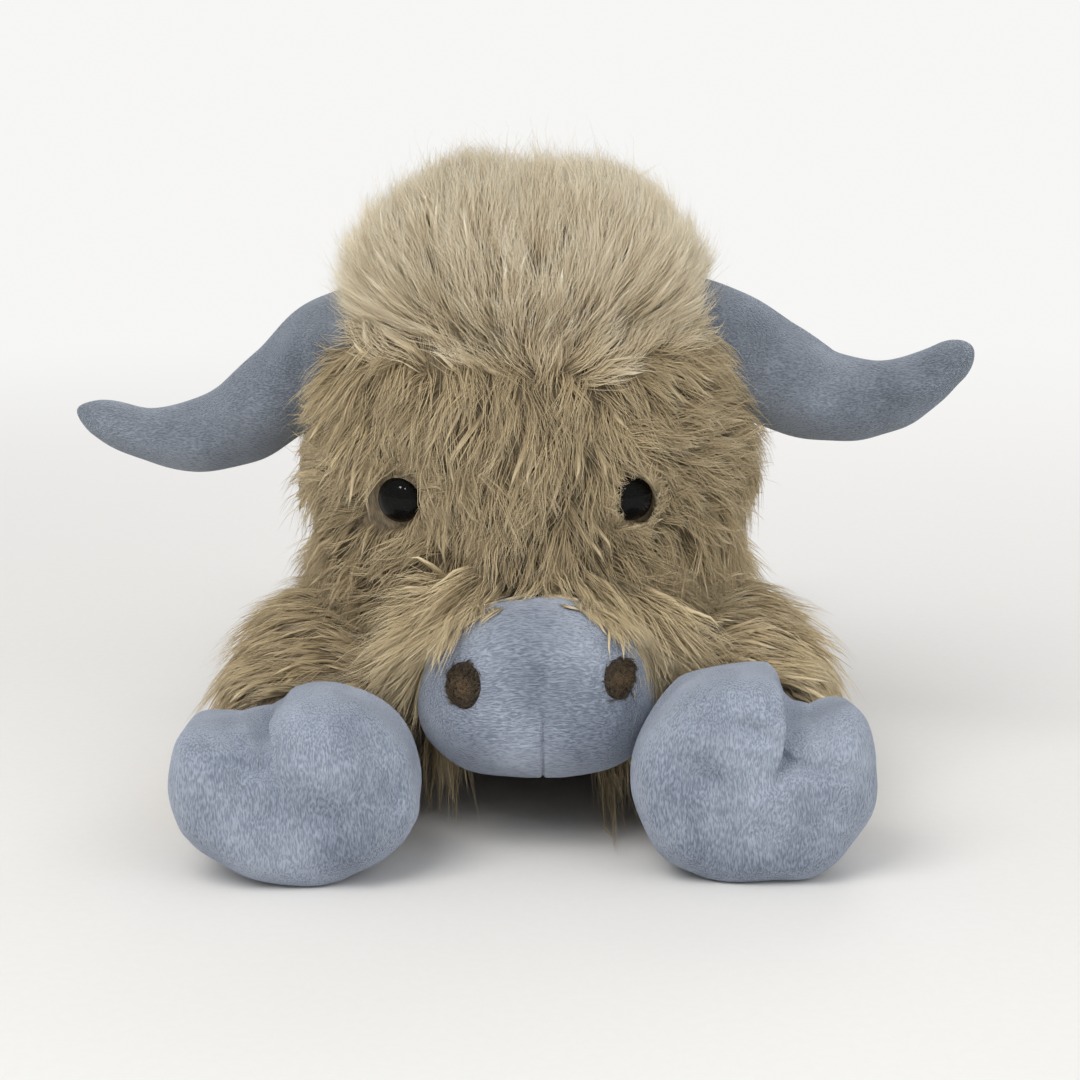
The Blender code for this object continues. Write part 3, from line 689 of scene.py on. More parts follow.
@dataclass(frozen=True)
class Loft:
    """A closed soft form: oval sections carried along a path, with rounded ends.

    Formula: the place t runs from 0 to 1 along the path. The point at the angle a of a section is
    centre(t) + round(t) * (half_across(t) * cos(a)^q * across + half_up(t) * sin(a)^q * up), where q below
    1 squares the ovals. Over the share e of the path at each end, round(t) = (1 - (1 - t / e)^2)^(p / 2),
    with p the end_power, closes the form, and elsewhere it is 1. The part across is also narrowed by
    1 - narrowing * sin(a)^q towards the top. The angles are crowded towards the bottom by `crowding`.

    `rings` has rows of t, the centre's x, y and z, half_across and half_up.
    """

    rings: Array
    across: Array
    end_power: float = 0.5
    oval_power: float = 0.9
    narrowing: float = 0.0
    end_shares: tuple = (0.5, 0.5)
    end_rows: float = 0.2
    crowding: float = 0.0

    def rounding(self, places: Array) -> Array:
        """The share of its full size that the form has at some places along the path."""
        start, end = self.end_shares
        near = np.minimum(places / start, (1 - places) / end)
        return (1 - (1 - np.clip(near, 0, 1)) ** 2) ** (self.end_power / 2)

    def places(self, rows: int) -> Array:
        """Places along the path that are as fine over the rounded ends as elsewhere.

        Args:
            rows: about how many there are.

        Returns:
            The places, from 0 to 1.
        """
        start, end = self.end_shares
        middle = 1 - start - end
        near = round(rows * (0.5 if middle <= 0 else self.end_rows))
        turn = math.pi / 2 * np.linspace(0, 1, near) ** (1 / self.end_power)
        closing = 1 - np.cos(turn)
        straight = np.linspace(start, 1 - end, max(rows - 2 * near, 0) + 2)[1:-1] if middle > 0 else []
        last = 1 - end * closing[::-1]
        return np.concatenate([start * closing, straight, last[1:] if middle <= 0 else last])

    def section(self, places: Array) -> tuple:
        """The form's sections.

        Args:
            places: where along the path.

        Returns:
            The centres, the half sizes, and the directions across and up.
        """
        values = eased(self.rings, places)
        nudge = 1e-3
        ahead = eased(self.rings, np.clip(places + nudge, 0, 1))[:, :3]
        behind = eased(self.rings, np.clip(places - nudge, 0, 1))[:, :3]
        along = unit(ahead - behind)
        across = unit(self.across - along * dot(along, self.across))
        return values[:, :3], values[:, 3:], across, np.cross(along, across)

    def skin(self, rows: int, sides: int) -> Skin:
        """The form's surface.

        Args:
            rows: about how many rings it has.
            sides: how many points each ring has.

        Returns:
            The surface, whose rows are as fine at the ends as elsewhere.
        """
        places = self.places(rows)
        rounding = self.rounding(places)
        rounding[[0, -1]] = 0
        centres, halves, across, up = self.section(places)
        angle = np.arange(sides) * math.tau / sides
        angle = angle - self.crowding * np.cos(angle)
        cosine = np.sign(np.cos(angle)) * np.abs(np.cos(angle)) ** self.oval_power
        sine = np.sign(np.sin(angle)) * np.abs(np.sin(angle)) ** self.oval_power
        halves = halves * rounding[:, None]
        cosine = cosine * (1 - self.narrowing * sine)
        points = (
            centres[:, None]
            + (halves[:, 0, None] * cosine)[..., None] * across[:, None]
            + (halves[:, 1, None] * sine)[..., None] * up[:, None]
        )
        return Skin(points)

    def depth_share(self, points: Array, margin: float = 0.0) -> tuple:
        """How far out each point lies, for a form with a straight path.

        Args:
            points: the places asked about.
            margin: how much larger the form is taken.

        Returns:
            Values of 0 on the path, 1 on the surface and more outside, and the path's nearest points.
        """
        start, end = self.rings[0, 1:4], self.rings[-1, 1:4]
        length = np.linalg.norm(end - start)
        along = (end - start) / length
        place = (points - start) @ along / length
        inside = np.clip(place, 1e-4, 1 - 1e-4)
        values = eased(self.rings, inside)
        halves = values[:, 3:] * self.rounding(inside)[:, None] + margin
        across = unit(self.across - along * dot(along, self.across))
        offset = points - values[:, :3]
        flat = np.stack([offset @ across, offset @ np.cross(along, across)], -1) / halves
        flat[:, 0] /= 1 - self.narrowing * np.clip(flat[:, 1], -1, 1)
        power = 2 / self.oval_power
        out = (np.abs(flat) ** power).sum(axis=-1) ** (1 / power)
        beyond = np.maximum(np.abs(place - 0.5) - 0.5, 0) * length
        return np.where(beyond > margin, 2.0, out), values[:, :3]

    def outside(self, points: Array, margin: float = 0.0) -> Array:
        """Whether each point lies outside the form, which is taken larger by a margin."""
        return self.depth_share(points, margin)[0] > 1

    @classmethod
    def straight(
        cls, ends: tuple, shares: Sequence, halves: tuple, across: Array, **kind: object
    ) -> "Loft":
        """A form on a straight path.

        Args:
            ends: the path's two ends.
            shares: rows of the place along, and the shares of the half sizes across and up.
            halves: the form's half sizes across and up.
            across: the direction across.
            kind: the form's other fields.

        Returns:
            The form.
        """
        shares = np.array(shares, float)
        start, end = (np.array(point, float) for point in ends)
        centres = start + shares[:, :1] * (end - start)
        return cls(np.concatenate([shares[:, :1], centres, shares[:, 1:] * halves], axis=1), across, **kind)


@dataclass
class Strands:
    """Fine closed strands of fur: each has a path from root to tip, a flat way, a width and a shade."""

    paths: Array
    flats: Array
    widths: Array
    shades: Array

    SIDES = 3
    TAPER = (1.0, 0.86, 0.52)
    PLACES = (0.0, 0.36, 0.72, 1.0)
    FIRST_ANGLE = math.pi / 2
    THICKNESS = 0.62
    PALETTE_WIDTH = 0.03
    PALETTE_ROWS = 4
    PALETTE_EDGE = 0.08

    @classmethod
    def triangles(cls) -> int:
        """How many triangles one strand has: its bands, its tip and its foot."""
        return cls.SIDES * (2 * len(cls.TAPER) - 1) + cls.SIDES - 2

    def kept(self, mask: Array) -> "Strands":
        """Only the strands that the mask names."""
        return type(self)(self.paths[mask], self.flats[mask], self.widths[mask], self.shades[mask])

    def clear_of(self, form: Loft, margin: float, deepest: float) -> "Strands":
        """Lays strands that dip into a form onto its surface.

        Args:
            form: what they may not run into.
            margin: how far off it they lie.
            deepest: the depth share below which a strand is dropped.

        Returns:
            The strands that are left.
        """
        count, points, _ = self.paths.shape
        flat = self.paths.reshape(-1, 3)
        out, centres = form.depth_share(flat, margin)
        pushed = centres + (flat - centres) / np.clip(out[:, None], 0.05, 1.0)
        least = out.reshape(count, points).min(axis=1)
        return replace(self, paths=pushed.reshape(count, points, 3)).kept(least > deepest)

    def off_the_floor(self, height: float) -> "Strands":
        """Spreads strands out on the floor.

        Args:
            height: the height below which they are lifted.

        Returns:
            The lifted strands.
        """
        paths = above_floor(self.paths, height)
        paths[..., 2] = np.maximum(paths[..., 2], self.widths[:, None] * 0.6)
        return replace(self, paths=paths)

    def shape(self) -> Shape:
        """The strands as one mesh: rings of vertices and a tip each, closed at the root.

        Formula: a ring's vertices are centre + width / 2 * (cos(a) * flat + thickness * sin(a) * thick), at
        even steps of the angle a, with `thick` square to the strand and to its flat direction.
        """
        count, rings, sides = len(self.paths), len(self.TAPER), self.SIDES
        along = unit(np.gradient(self.paths, axis=1))[:, :rings]
        flats = unit(self.flats[:, None] - along * dot(along, self.flats[:, None]))
        thick = np.cross(along, flats)
        angles = self.FIRST_ANGLE + np.arange(sides)[:, None] * math.tau / sides
        half = (self.widths[:, None] * self.TAPER / 2)[:, :, None, None]
        spread = np.cos(angles) * flats[:, :, None] + self.THICKNESS * np.sin(angles) * thick[:, :, None]
        ringed = (self.paths[:, :rings, None] + half * spread).reshape(count, rings * sides, 3)
        vertices = np.concatenate([ringed, self.paths[:, rings:]], axis=1)
        corner = np.arange(sides)
        after = (corner + 1) % sides
        last = (rings - 1) * sides
        bands = [
            np.stack([low + corner, low + after, low + sides + after, low + sides + corner], -1)
            for low in range(0, last, sides)
        ]
        tips = np.stack([last + corner, last + after, np.full(sides, rings * sides)], -1)
        foot = np.stack([corner[2:], corner[1:-1], np.zeros(sides - 2, int)], -1)
        first = np.arange(count)[:, None, None] * (rings * sides + 1)
        quads = (np.concatenate(bands) + first).reshape(-1, 4)
        triangles = (np.concatenate([tips, foot]) + first).reshape(-1, 3)
        return Shape(vertices.reshape(-1, 3), quads, triangles, self._palette())

    def _palette(self) -> Array:
        """Each corner's place in the palette: across by its strand's shade, up a row by its place along.

        Returns:
            A place for each corner, of the quads first and then of the triangles.
        """
        count, rings, sides = len(self.paths), len(self.TAPER), self.SIDES
        turn = np.arange(sides)
        left, right = turn / sides - 0.5, (turn + 1) / sides - 0.5
        places = np.array(self.PLACES) * 0.92 + 0.04
        bands = []
        for start, end in zip(places[: rings - 1], places[1:rings]):
            over = np.stack([left, right, right, left], -1)
            along = np.broadcast_to([start, start, end, end], over.shape)
            bands.append(np.stack([over, along], -1))
        over = np.stack([left, right, (left + right) / 2], -1)
        along = np.broadcast_to([places[rings - 1], places[rings - 1], places[rings]], over.shape)
        tips = np.stack([over, along], -1)
        foot = np.array([[[-0.5, places[0] + 0.05], [0.0, places[0]], [0.5, places[0]]]] * (sides - 2))
        quad_places = np.concatenate(bands).reshape(-1, 2)
        triangle_places = np.concatenate([tips, foot]).reshape(-1, 2)
        centre = self.PALETTE_EDGE + (1 - 2 * self.PALETTE_EDGE) * self.shades[:, None]
        row = (np.arange(count) % self.PALETTE_ROWS)[:, None]
        placed = []
        for corners in (quad_places, triangle_places):
            over = centre + corners[:, 0] * self.PALETTE_WIDTH
            along = (row + corners[:, 1]) / self.PALETTE_ROWS
            placed.append(np.stack([over, along], -1).reshape(-1, 2))
        return np.concatenate(placed)


class Locks(Strands):
    """Broad soft locks: each is a closed blade, which the palette's streaks divide into hairs."""

    SIDES = 4
    TAPER = (0.70, 1.0, 0.88, 0.50)
    PLACES = (0.0, 0.25, 0.52, 0.80, 1.0)
    FIRST_ANGLE = 0.0
    THICKNESS = 0.34
    PALETTE_WIDTH = 0.12


MOST_TRIANGLES = 190_000


@dataclass
class Pelt:
    """A pile of fur: its broad locks, and the fine strands that lie over them."""

    kinds: tuple

    def clear_of(self, form: Loft, margin: float, deepest: float = 0.8) -> "Pelt":
        """Lays the fur that dips into a form onto it, and drops what runs deep inside it."""
        return Pelt(tuple(kind.clear_of(form, margin, deepest) for kind in self.kinds))

    def off_the_floor(self, height: float) -> "Pelt":
        """Spreads the fur out on the floor."""
        return Pelt(tuple(kind.off_the_floor(height) for kind in self.kinds))

    def clear_of_eye(self, eye: "Eye") -> "Pelt":
        """Drops the fur that would cover an eye."""
        return Pelt(tuple(eye.uncovered(kind) for kind in self.kinds))

    def dress(self, name: str, body: str, finish: FurFinish, axis: int = 0) -> None:
        """Makes fur pieces of at most MOST_TRIANGLES each, cut where the roots rise along an axis.

        Args:
            name: the start of the pieces' names.
            body: the body that carries them.
            finish: what they wear.
            axis: 0, 1 or 2 for X, Y or Z.
        """
        total = sum(len(kind.paths) * kind.triangles() for kind in self.kinds)
        count = math.ceil(total / MOST_TRIANGLES)
        cuts = []
        for kind in self.kinds:
            cuts.append(np.array_split(np.argsort(kind.paths[:, 0, axis], kind="stable"), count))
        for number in range(count):
            shapes = [kind.kept(parts[number]).shape() for kind, parts in zip(self.kinds, cuts)]
            label = name if count == 1 else f"{name}_{number + 1}"
            Shape.joined(shapes).dress(label, finish, body)


@dataclass(frozen=True)
class Comb:
    """Combing directions that are given at a few places and blended between them.

    Formula: a place's direction is the mean of the set ones, each weighted by exp(-d^2 / (2 reach^2)).
    """

    places: Array
    directions: Array
    reach: float

    def at(self, points: Array) -> Array:
        """The combing over a surface.

        Args:
            points: the places asked about.

        Returns:
            The direction at each of them.
        """
        gaps = ((points[:, None] - self.places[None]) ** 2).sum(axis=-1)
        nearest = gaps.min(axis=1, keepdims=True)
        weights = np.exp(-(gaps - nearest) / (2 * self.reach**2))
        return unit(weights @ self.directions / weights.sum(axis=1, keepdims=True))


@dataclass(frozen=True)
class Coat:
    """How a pile grows: broad locks, and over each of them strands that meet towards their tips.

    `lift` and `droop` are shares of a strand's length, `wander` and `swirl` are in radians, and the spreads
    are shares.
    """

    locks: int
    length: float
    in_lock: int = 9
    width: float = 0.00036
    lock_radius: float = 0.0026
    lock_width: float = 0.0022
    lift: float = 0.30
    lift_spread: float = 0.42
    droop: float = 0.12
    gather: float = 0.58
    wander: float = 0.20
    swirl: float = 0.42
    swirl_size: float = 0.018
    curl: float = 0.11
    shade: float = 0.5
    lock_spread: float = 0.18
    strand_spread: float = 0.12
    length_spread: float = 0.20
    stray_share: float = 0.012
    blade_share: float = 0.5
    palest: float = 0.86
    cling: float = 0.85

    def grown_on(
        self,
        skin: Skin,
        comb: Callable[[Array], Array],
        seed: int,
        weight: Optional[Callable] = None,
        length_at: Optional[Callable] = None,
        shade_at: Optional[Callable] = None,
    ) -> Pelt:
        """Grows the pile on a surface.

        Formula: with s from 0 at the root to 1 at the tip, a strand's point is
        root + L * (s * flow + lift * s * (1.7 - s) * normal + curl * sin(4 s + phase) * side
        - droop * s^2 * up), minus gather * s^1.2 times the root's offset from the middle of its lock. The
        flow is the combing, turned by a little chance for each lock and by slow swells that neighbouring
        locks share.

        Args:
            skin: the surface.
            comb: gives the combing direction at each place.
            seed: where the randomness starts.
            weight: the wanted density at points and normals.
            length_at: a factor of the length at each root.
            shade_at: what is added to the shade at each root.

        Returns:
            The pile.
        """
        rng = np.random.default_rng(seed)
        roots, normals = skin.scatter(self.locks, rng, weight)
        flow = comb(roots)
        flow = unit(flow - normals * dot(flow, normals) * self.cling)
        turn = rng.normal(0, self.wander, (self.locks, 1))
        turn += self.swirl * lumps(roots, self.swirl_size, self.locks)[:, None]
        side = unit(np.cross(normals, flow))
        flow = unit(flow * np.cos(turn) + side * np.sin(turn))
        side = unit(np.cross(normals, flow))
        length = self.length * np.clip(rng.normal(1, self.length_spread, self.locks), 0.4, 1.6)
        if length_at is not None:
            length = length * length_at(roots)
        shade = self.shade + rng.normal(0, self.lock_spread, self.locks)
        if shade_at is not None:
            shade = shade + shade_at(roots)
        lift = self.lift * rng.uniform(1 - self.lift_spread, 1 + self.lift_spread, self.locks)
        phase = rng.uniform(0, math.tau, self.locks)

        def grown(kind: type, own: Array, width: float, spread: float, rise: float) -> Strands:
            """Grows the strands of one kind.

            Args:
                kind: Strands or Locks.
                own: the lock that each of them belongs to.
                width: how wide one is.
                spread: how far a root may lie from the middle of its lock.
                rise: the share of the lock's lift that they have.

            Returns:
                The strands.
            """
            total = len(own)
            angle = rng.uniform(0, math.tau, (total, 1))
            radius = spread * np.sqrt(rng.random((total, 1)))
            along, over, out = flow[own], side[own], normals[own]
            offset = radius * (np.cos(angle) * along + np.sin(angle) * over)
            stray = (rng.random(total) < self.stray_share) & (spread > 0)
            reach = length[own] * rng.uniform(0.80, 1.12, total) * np.where(stray, 1.15, 1.0)
            raised = lift[own] * rise * rng.uniform(0.8, 1.2, total) * np.where(stray, 1.4, 1.0)
            reach, raised = reach[:, None, None], raised[:, None, None]
            place = np.array(kind.PLACES)[None, :, None]
            bend = np.sin(4 * place + phase[own][:, None, None] + rng.normal(0, 0.4, (total, 1, 1)))
            meet = np.where(stray, 0.0, self.gather)[:, None, None] * place**1.2
            lean = unit(along + over * rng.normal(0, 0.10, (total, 1)))
            root = roots[own] + offset - out * (self.width * 0.8)
            paths = (
                root[:, None]
                + reach * place * lean[:, None]
                + reach * raised * place * (1.7 - place) * out[:, None]
                + reach * self.curl * (bend - bend[:, :1]) * over[:, None]
                - reach * self.droop * place**2 * UP
                - meet * offset[:, None]
            )
            shades = shade[own] + rng.normal(0, self.strand_spread, total) + np.where(stray, 0.2, 0.0)
            widths = width * rng.uniform(0.7, 1.25, total) * np.where(stray, 0.6, 1.0)
            return kind(paths, over, widths, np.clip(shades, 0.02, self.palest))

        every = np.arange(self.locks)
        bladed = every[rng.random(self.locks) < self.blade_share]
        broad = grown(Locks, bladed, self.lock_width, 0.0, 0.36)
        fine = grown(Strands, np.repeat(every, self.in_lock), self.width, self.lock_radius, 1.0)
        return Pelt((broad, fine))


@dataclass(frozen=True)
class Viewpoint:
    """The camera of the photograph, which is square and this many pixels wide."""

    target: tuple = (0.0043, -0.083, 0.0879)
    distance: float = 0.85
    elevation: float = math.radians(12)
    pixel_slope: float = 0.3929e-3
    pixels: int = 1080
    sensor: float = 36.0

    def directions(self) -> tuple[Array, Array]:
        """The directions forwards and up in the picture."""
        sine, cosine = math.sin(self.elevation), math.cos(self.elevation)
        return np.array([0, cosine, -sine]), np.array([0, sine, cosine])

    def place(self) -> Array:
        """Where the camera stands."""
        return np.array(self.target) - self.distance * self.directions()[0]

    def on_plane(self, across: Array, down: Array, y: float) -> Array:
        """What pixels show on an upright plane square to Y.

        Args:
            across: the pixels' places across the photograph.
            down: their places down it.
            y: where the plane stands.

        Returns:
            The places on the plane.
        """
        forward, up = self.directions()
        middle = self.pixels / 2
        rays = (
            forward
            + ((across - middle) * self.pixel_slope)[:, None] * ACROSS
            + ((middle - down) * self.pixel_slope)[:, None] * up
        )
        start = self.place()
        return start + rays * ((y - start[1]) / rays[:, 1])[:, None]

    def build(self) -> None:
        """Adds the camera and makes it the scene's."""
        data = bpy.data.cameras.new("camera")
        data.sensor_width = self.sensor
        data.lens = self.sensor / (self.pixels * self.pixel_slope)
        data.clip_start = 0.01
        camera = bpy.data.objects.new("camera", data)
        camera.location = self.place()
        camera.rotation_euler = (math.pi / 2 - self.elevation, 0, 0)
        bpy.context.scene.collection.objects.link(camera)
        bpy.context.scene.camera = camera


VIEW = Viewpoint()

# How the face's fur is combed, read off the photograph: pixel across and down, then rightwards and upwards
FACE_COMBING = (
    (330, 390, -1.0, 0.05), (345, 430, -1.0, -0.25), (320, 480, -1.0, -0.10), (318, 540, -0.9, -0.45),
    (345, 590, -0.7, -0.75), (380, 385, -0.55, -0.8), (395, 430, -0.1, -1.0), (352, 500, -1.0, -0.15),
    (372, 545, -0.7, -0.65), (432, 400, 0.05, -1.0), (430, 450, 0.15, -1.0), (448, 500, 0.05, -1.0),
    (430, 548, -0.55, -0.85), (480, 395, -0.1, -1.0), (490, 450, -0.22, -1.0), (490, 510, -0.15, -1.0),
    (480, 560, -0.75, -0.35), (545, 385, -0.35, -0.95), (540, 440, -0.28, -1.0),
    (535, 500, -0.12, -1.0), (535, 560, 0.0, -1.0), (590, 385, -0.1, -1.0), (590, 440, 0.05, -1.0),
    (616, 395, 0.4, -0.7), (616, 440, 0.5, -0.75), (590, 500, 0.05, -1.0), (590, 560, 0.35, -0.9),
    (640, 380, 0.8, 0.0), (640, 430, 0.8, -0.1), (665, 460, 1.0, 0.30), (690, 410, 1.0, 0.50),
    (720, 440, 1.0, 0.32), (740, 400, 1.0, 0.35), (700, 480, 1.0, 0.08), (738, 490, 0.9, -0.45),
    (665, 520, 0.55, -0.85), (690, 560, 0.35, -0.95), (730, 550, 0.2, -1.0), (640, 560, 0.85, -0.3),
    (430, 590, -1.0, -0.30), (400, 630, -0.9, -0.55), (470, 590, -1.0, -0.12), (415, 680, -0.25, -1.0),
    (370, 650, -0.5, -0.9), (520, 590, -0.2, -0.6), (560, 590, 0.2, -0.6), (620, 592, 1.0, -0.10),
    (665, 610, 1.0, -0.35), (690, 650, 0.9, -0.45), (700, 600, 0.8, -0.5), (680, 700, 0.4, -0.9),
)
FACE_PLANE_Y = -0.118

# How the rest of the head's fur is combed on the cow's left: place, and direction
SIDE_COMBING = (
    ((0.076, -0.075, 0.150), (0.7, 0.5, -0.3)),
    ((0.078, -0.060, 0.105), (0.3, 0.5, -0.8)),
    ((0.074, -0.060, 0.060), (0.2, 0.4, -0.9)),
    ((0.060, -0.100, 0.040), (0.5, -0.1, -0.9)),
    ((0.076, -0.030, 0.150), (0.2, 0.6, -0.7)),
    ((0.074, -0.025, 0.090), (0.1, 0.5, -0.9)),
    ((0.045, 0.000, 0.160), (0.1, 0.5, -0.9)),
    ((0.040, 0.012, 0.110), (0.1, 0.1, -1.0)),
    ((0.040, 0.005, 0.060), (0.0, 0.1, -1.0)),
    ((0.000, 0.015, 0.130), (0.0, 0.1, -1.0)),
    ((0.000, 0.012, 0.070), (0.0, 0.1, -1.0)),
    ((0.020, -0.060, 0.026), (0.1, 0.9, -0.3)),
)


def face_comb() -> Comb:
    """The head's combing: as in the photograph on the face, and as listed on the sides and the back."""
    face = np.array(FACE_COMBING)
    places = [VIEW.on_plane(face[:, 0], face[:, 1], FACE_PLANE_Y)]
    up = VIEW.directions()[1]
    directions = [unit(face[:, 2:3] * ACROSS + face[:, 3:4] * up)]
    for place, direction in SIDE_COMBING:
        for hand in (1, -1):
            places.append(np.array([place]) * (hand, 1, 1))
            directions.append(unit(np.array([direction]) * (hand, 1, 1)))
    return Comb(np.concatenate(places), np.concatenate(directions), reach=0.010)


@dataclass(frozen=True)
class Head:
    """The furred head: its backing, its combed fur and what is left bare for its neighbours."""

    width: float = 0.142
    depth: float = 0.130
    bottom: float = 0.031
    top: float = 0.177
    middle_y: float = -0.056
    socket_lift: float = 0.0022
    socket_radius: float = 0.011
    eye_clearance: float = 0.0085
    brow_reach: float = 0.022
    flank_x: float = 0.058
    lid_ring: tuple = (0.0060, 0.0115)
    sunken_ring: tuple = (0.0070, 0.0128)
    coat: Coat = Coat(
        locks=3600, length=0.0185, lock_radius=0.0023, gather=0.66, swirl=0.50, wander=0.23,
        blade_share=0.36,
    )
    lid_coat: Coat = Coat(
        locks=320, length=0.0068, width=0.00034, lock_radius=0.0010, lift=0.42, droop=0.08, gather=0.35,
        shade=0.55, blade_share=0.0,
    )
    sunken_coat: Coat = Coat(
        locks=260, length=0.0074, width=0.00032, lock_radius=0.0010, lift=1.00, droop=0.05, gather=0.30,
        shade=0.46, blade_share=0.0,
    )
    # The chin tufts' shade of 0.02 is the darkest fur: painted shade under the head.
    tuft_coat: Coat = Coat(
        locks=70, length=0.0470, width=0.00045, lock_radius=0.0020, lock_width=0.0024, lift=0.02,
        droop=0.05, shade=0.02, lock_spread=0.10, wander=0.10, swirl=0.0, cling=0.0,
    )
    tuft_places: tuple = ((0.0295, -0.094, 0.040), (-0.0260, -0.094, 0.041))
    tuft_radius: float = 0.0036

    SHARES = (
        (0.00, 0.74, 0.84),
        (0.16, 0.92, 0.95),
        (0.42, 1.00, 1.00),
        (0.70, 1.03, 1.03),
        (0.90, 0.98, 0.97),
        (1.00, 0.86, 0.86),
    )

    def form(self) -> Loft:
        """The head's backing, from the chin up."""
        ends = (0, self.middle_y, self.bottom), (0, self.middle_y, self.top)
        return Loft.straight(ends, self.SHARES, (self.width / 2, self.depth / 2), ACROSS)

    def skin(self, eyes: Sequence["Eye"], fineness: int) -> Skin:
        """The backing, raised a little round each eye and gently uneven.

        Args:
            eyes: the safety eyes that sit in it.
            fineness: how many times finer it is than the visible backing.

        Returns:
            The surface.
        """
        skin = self.form().skin(80 * fineness, 110 * fineness)
        raised = lumps(skin.points, 0.050, 11) * 0.0012
        for eye in eyes:
            raised += self.socket_lift * np.exp(-((eye.gap(skin.points) / self.socket_radius) ** 2))
        return skin.moved(raised)

    def fur(self, skin: Skin, cow: "Cow") -> Pelt:
        """The combed fur, short round the eyes and cleared from what it would run into.

        Args:
            skin: the head's backing.
            cow: the parts that the fur keeps clear of.

        Returns:
            The fur.
        """
        bare = [(cow.muzzle.form(), 0.0), (cow.topknot.form(), -0.002)]
        bare += [(horn.root_ball(), 0.0) for horn in cow.horns.values()]

        def weight(points: Array, normals: Array) -> Array:
            """Denser on the face, and none under the muzzle, the topknot and the horns."""
            wanted = 0.55 + 0.45 * step(-normals[:, 1], -0.2, 0.4)
            for form, margin in bare:
                wanted = wanted * form.outside(points, margin)
            wanted = wanted * ~cow.topknot.hairline_band(points, 0.0075)
            return wanted * ~cow.muzzle.fringe_band(points, 0.004)

        def length_at(roots: Array) -> Array:
            """Shorter round the eyes, on the sides and under the chin."""
            edge = self.width / 2
            factor = 1 - 0.25 * step(-roots[:, 2], -0.05, -0.03)
            factor = factor * (1 - 0.34 * step(-roots[:, 0], self.flank_x, edge))
            factor = factor * (1 - 0.10 * step(roots[:, 0], self.flank_x, edge))
            for eye in cow.eyes.values():
                factor = factor * (0.55 + 0.45 * step(eye.gap(roots), self.eye_clearance, self.brow_reach))
            return factor

        def shade_at(roots: Array) -> Array:
            """Broad pale and dark patches, and paler fur low on the cow's left cheek, which is painted
            light on that side.
            """
            # cheek: painted light, the cow's left cheek made paler as if more light fell on it
            cheek = step(roots[:, 0], 0.02, 0.05) * step(-roots[:, 2], -0.10, -0.06)
            return 0.12 * lumps(roots, 0.035, 12) + 0.09 * lumps(roots, 0.009, 13) + 0.14 * cheek

        pelt = self.coat.grown_on(skin, face_comb().at, Seed.HEAD_FUR, weight, length_at, shade_at)
        return cow.laid(pelt)

    def dress(self, cow: "Cow") -> None:
        """Makes the head's backing, and all the fur that grows from it.

        Args:
            cow: the parts that it keeps clear of.
        """
        eyes = tuple(cow.eyes.values())
        nodes = "head_cover", "head_stuffing"
        self.skin(eyes, 1).shape().dress("head_backing", TAN_BACKING, "head", nodes, fill=0.9)
        skin = self.skin(eyes, 2)
        self.fur(skin, cow).dress("head_fur", "head", TAN_FUR, axis=2)
        self.eyelids(skin, cow).dress("eyelid_fur", "head", TAN_FUR)
        cow.muzzle.fringe(skin, cow).dress("muzzle_fringe", "head", TAN_FUR)
        cow.muzzle.wisps(cow).dress("muzzle_wisps", "head", TAN_FUR)
        cow.topknot.hairline(skin, cow).dress("topknot_hairline", "head", PALE_FUR)
        self.chin_tufts(skin, cow).dress("chin_tufts", "head", TAN_FUR)

    def eyelids(self, skin: Skin, cow: "Cow") -> Pelt:
        """Short fur that fills the ring round each eye, and lies over the rim of a sunken one.

        Args:
            skin: the head's backing.
            cow: the parts that the fur keeps clear of.

        Returns:
            The fur of both eyes.
        """
        kinds: tuple = ()
        for number, eye in enumerate(cow.eyes.values()):
            inside, outside = self.sunken_ring if eye.sunken else self.lid_ring
            coat, sweep = (self.sunken_coat, -1.0) if eye.sunken else (self.lid_coat, 1.0)

            def weight(points: Array, normals: Array) -> Array:
                """A ring round the eye."""
                gap = eye.gap(points)
                return ((gap > inside) & (gap < outside)).astype(float)

            def comb(points: Array) -> Array:
                """Away from the eye, or over its rim."""
                return unit(sweep * (points - eye.seat))

            kinds += coat.grown_on(skin, comb, Seed.EYELIDS + number, weight).kinds
        return cow.laid(Pelt(kinds))

    def chin_tufts(self, skin: Skin, cow: "Cow") -> Pelt:
        """Two tufts in the darkest fur, as painted shade under the head, that hang from under the cheeks to
        the floor, beside the muzzle.

        Args:
            skin: the head's backing.
            cow: the parts that the tufts keep clear of.

        Returns:
            The tufts.
        """

        def weight(points: Array, normals: Array) -> Array:
            """Only round the tufts' own places, low on the front of the head."""
            wanted = np.zeros(len(points))
            for place in self.tuft_places:
                gap = np.linalg.norm(points - np.array(place), axis=-1)
                wanted += np.exp(-((gap / self.tuft_radius) ** 2))
            return wanted

        def comb(points: Array) -> Array:
            """Down and forwards."""
            return np.tile(unit(np.array([0.0, -0.60, -0.80])), (len(points), 1))

        def length_at(roots: Array) -> Array:
            """Shorter on the cow's right."""
            return np.where(roots[:, 0] > 0, 1.0, 0.72)

        pelt = self.tuft_coat.grown_on(skin, comb, Seed.CHIN_TUFTS, weight, length_at)
        return pelt.clear_of(cow.muzzle.form(), 0.0004, 0.5).off_the_floor(0.001)


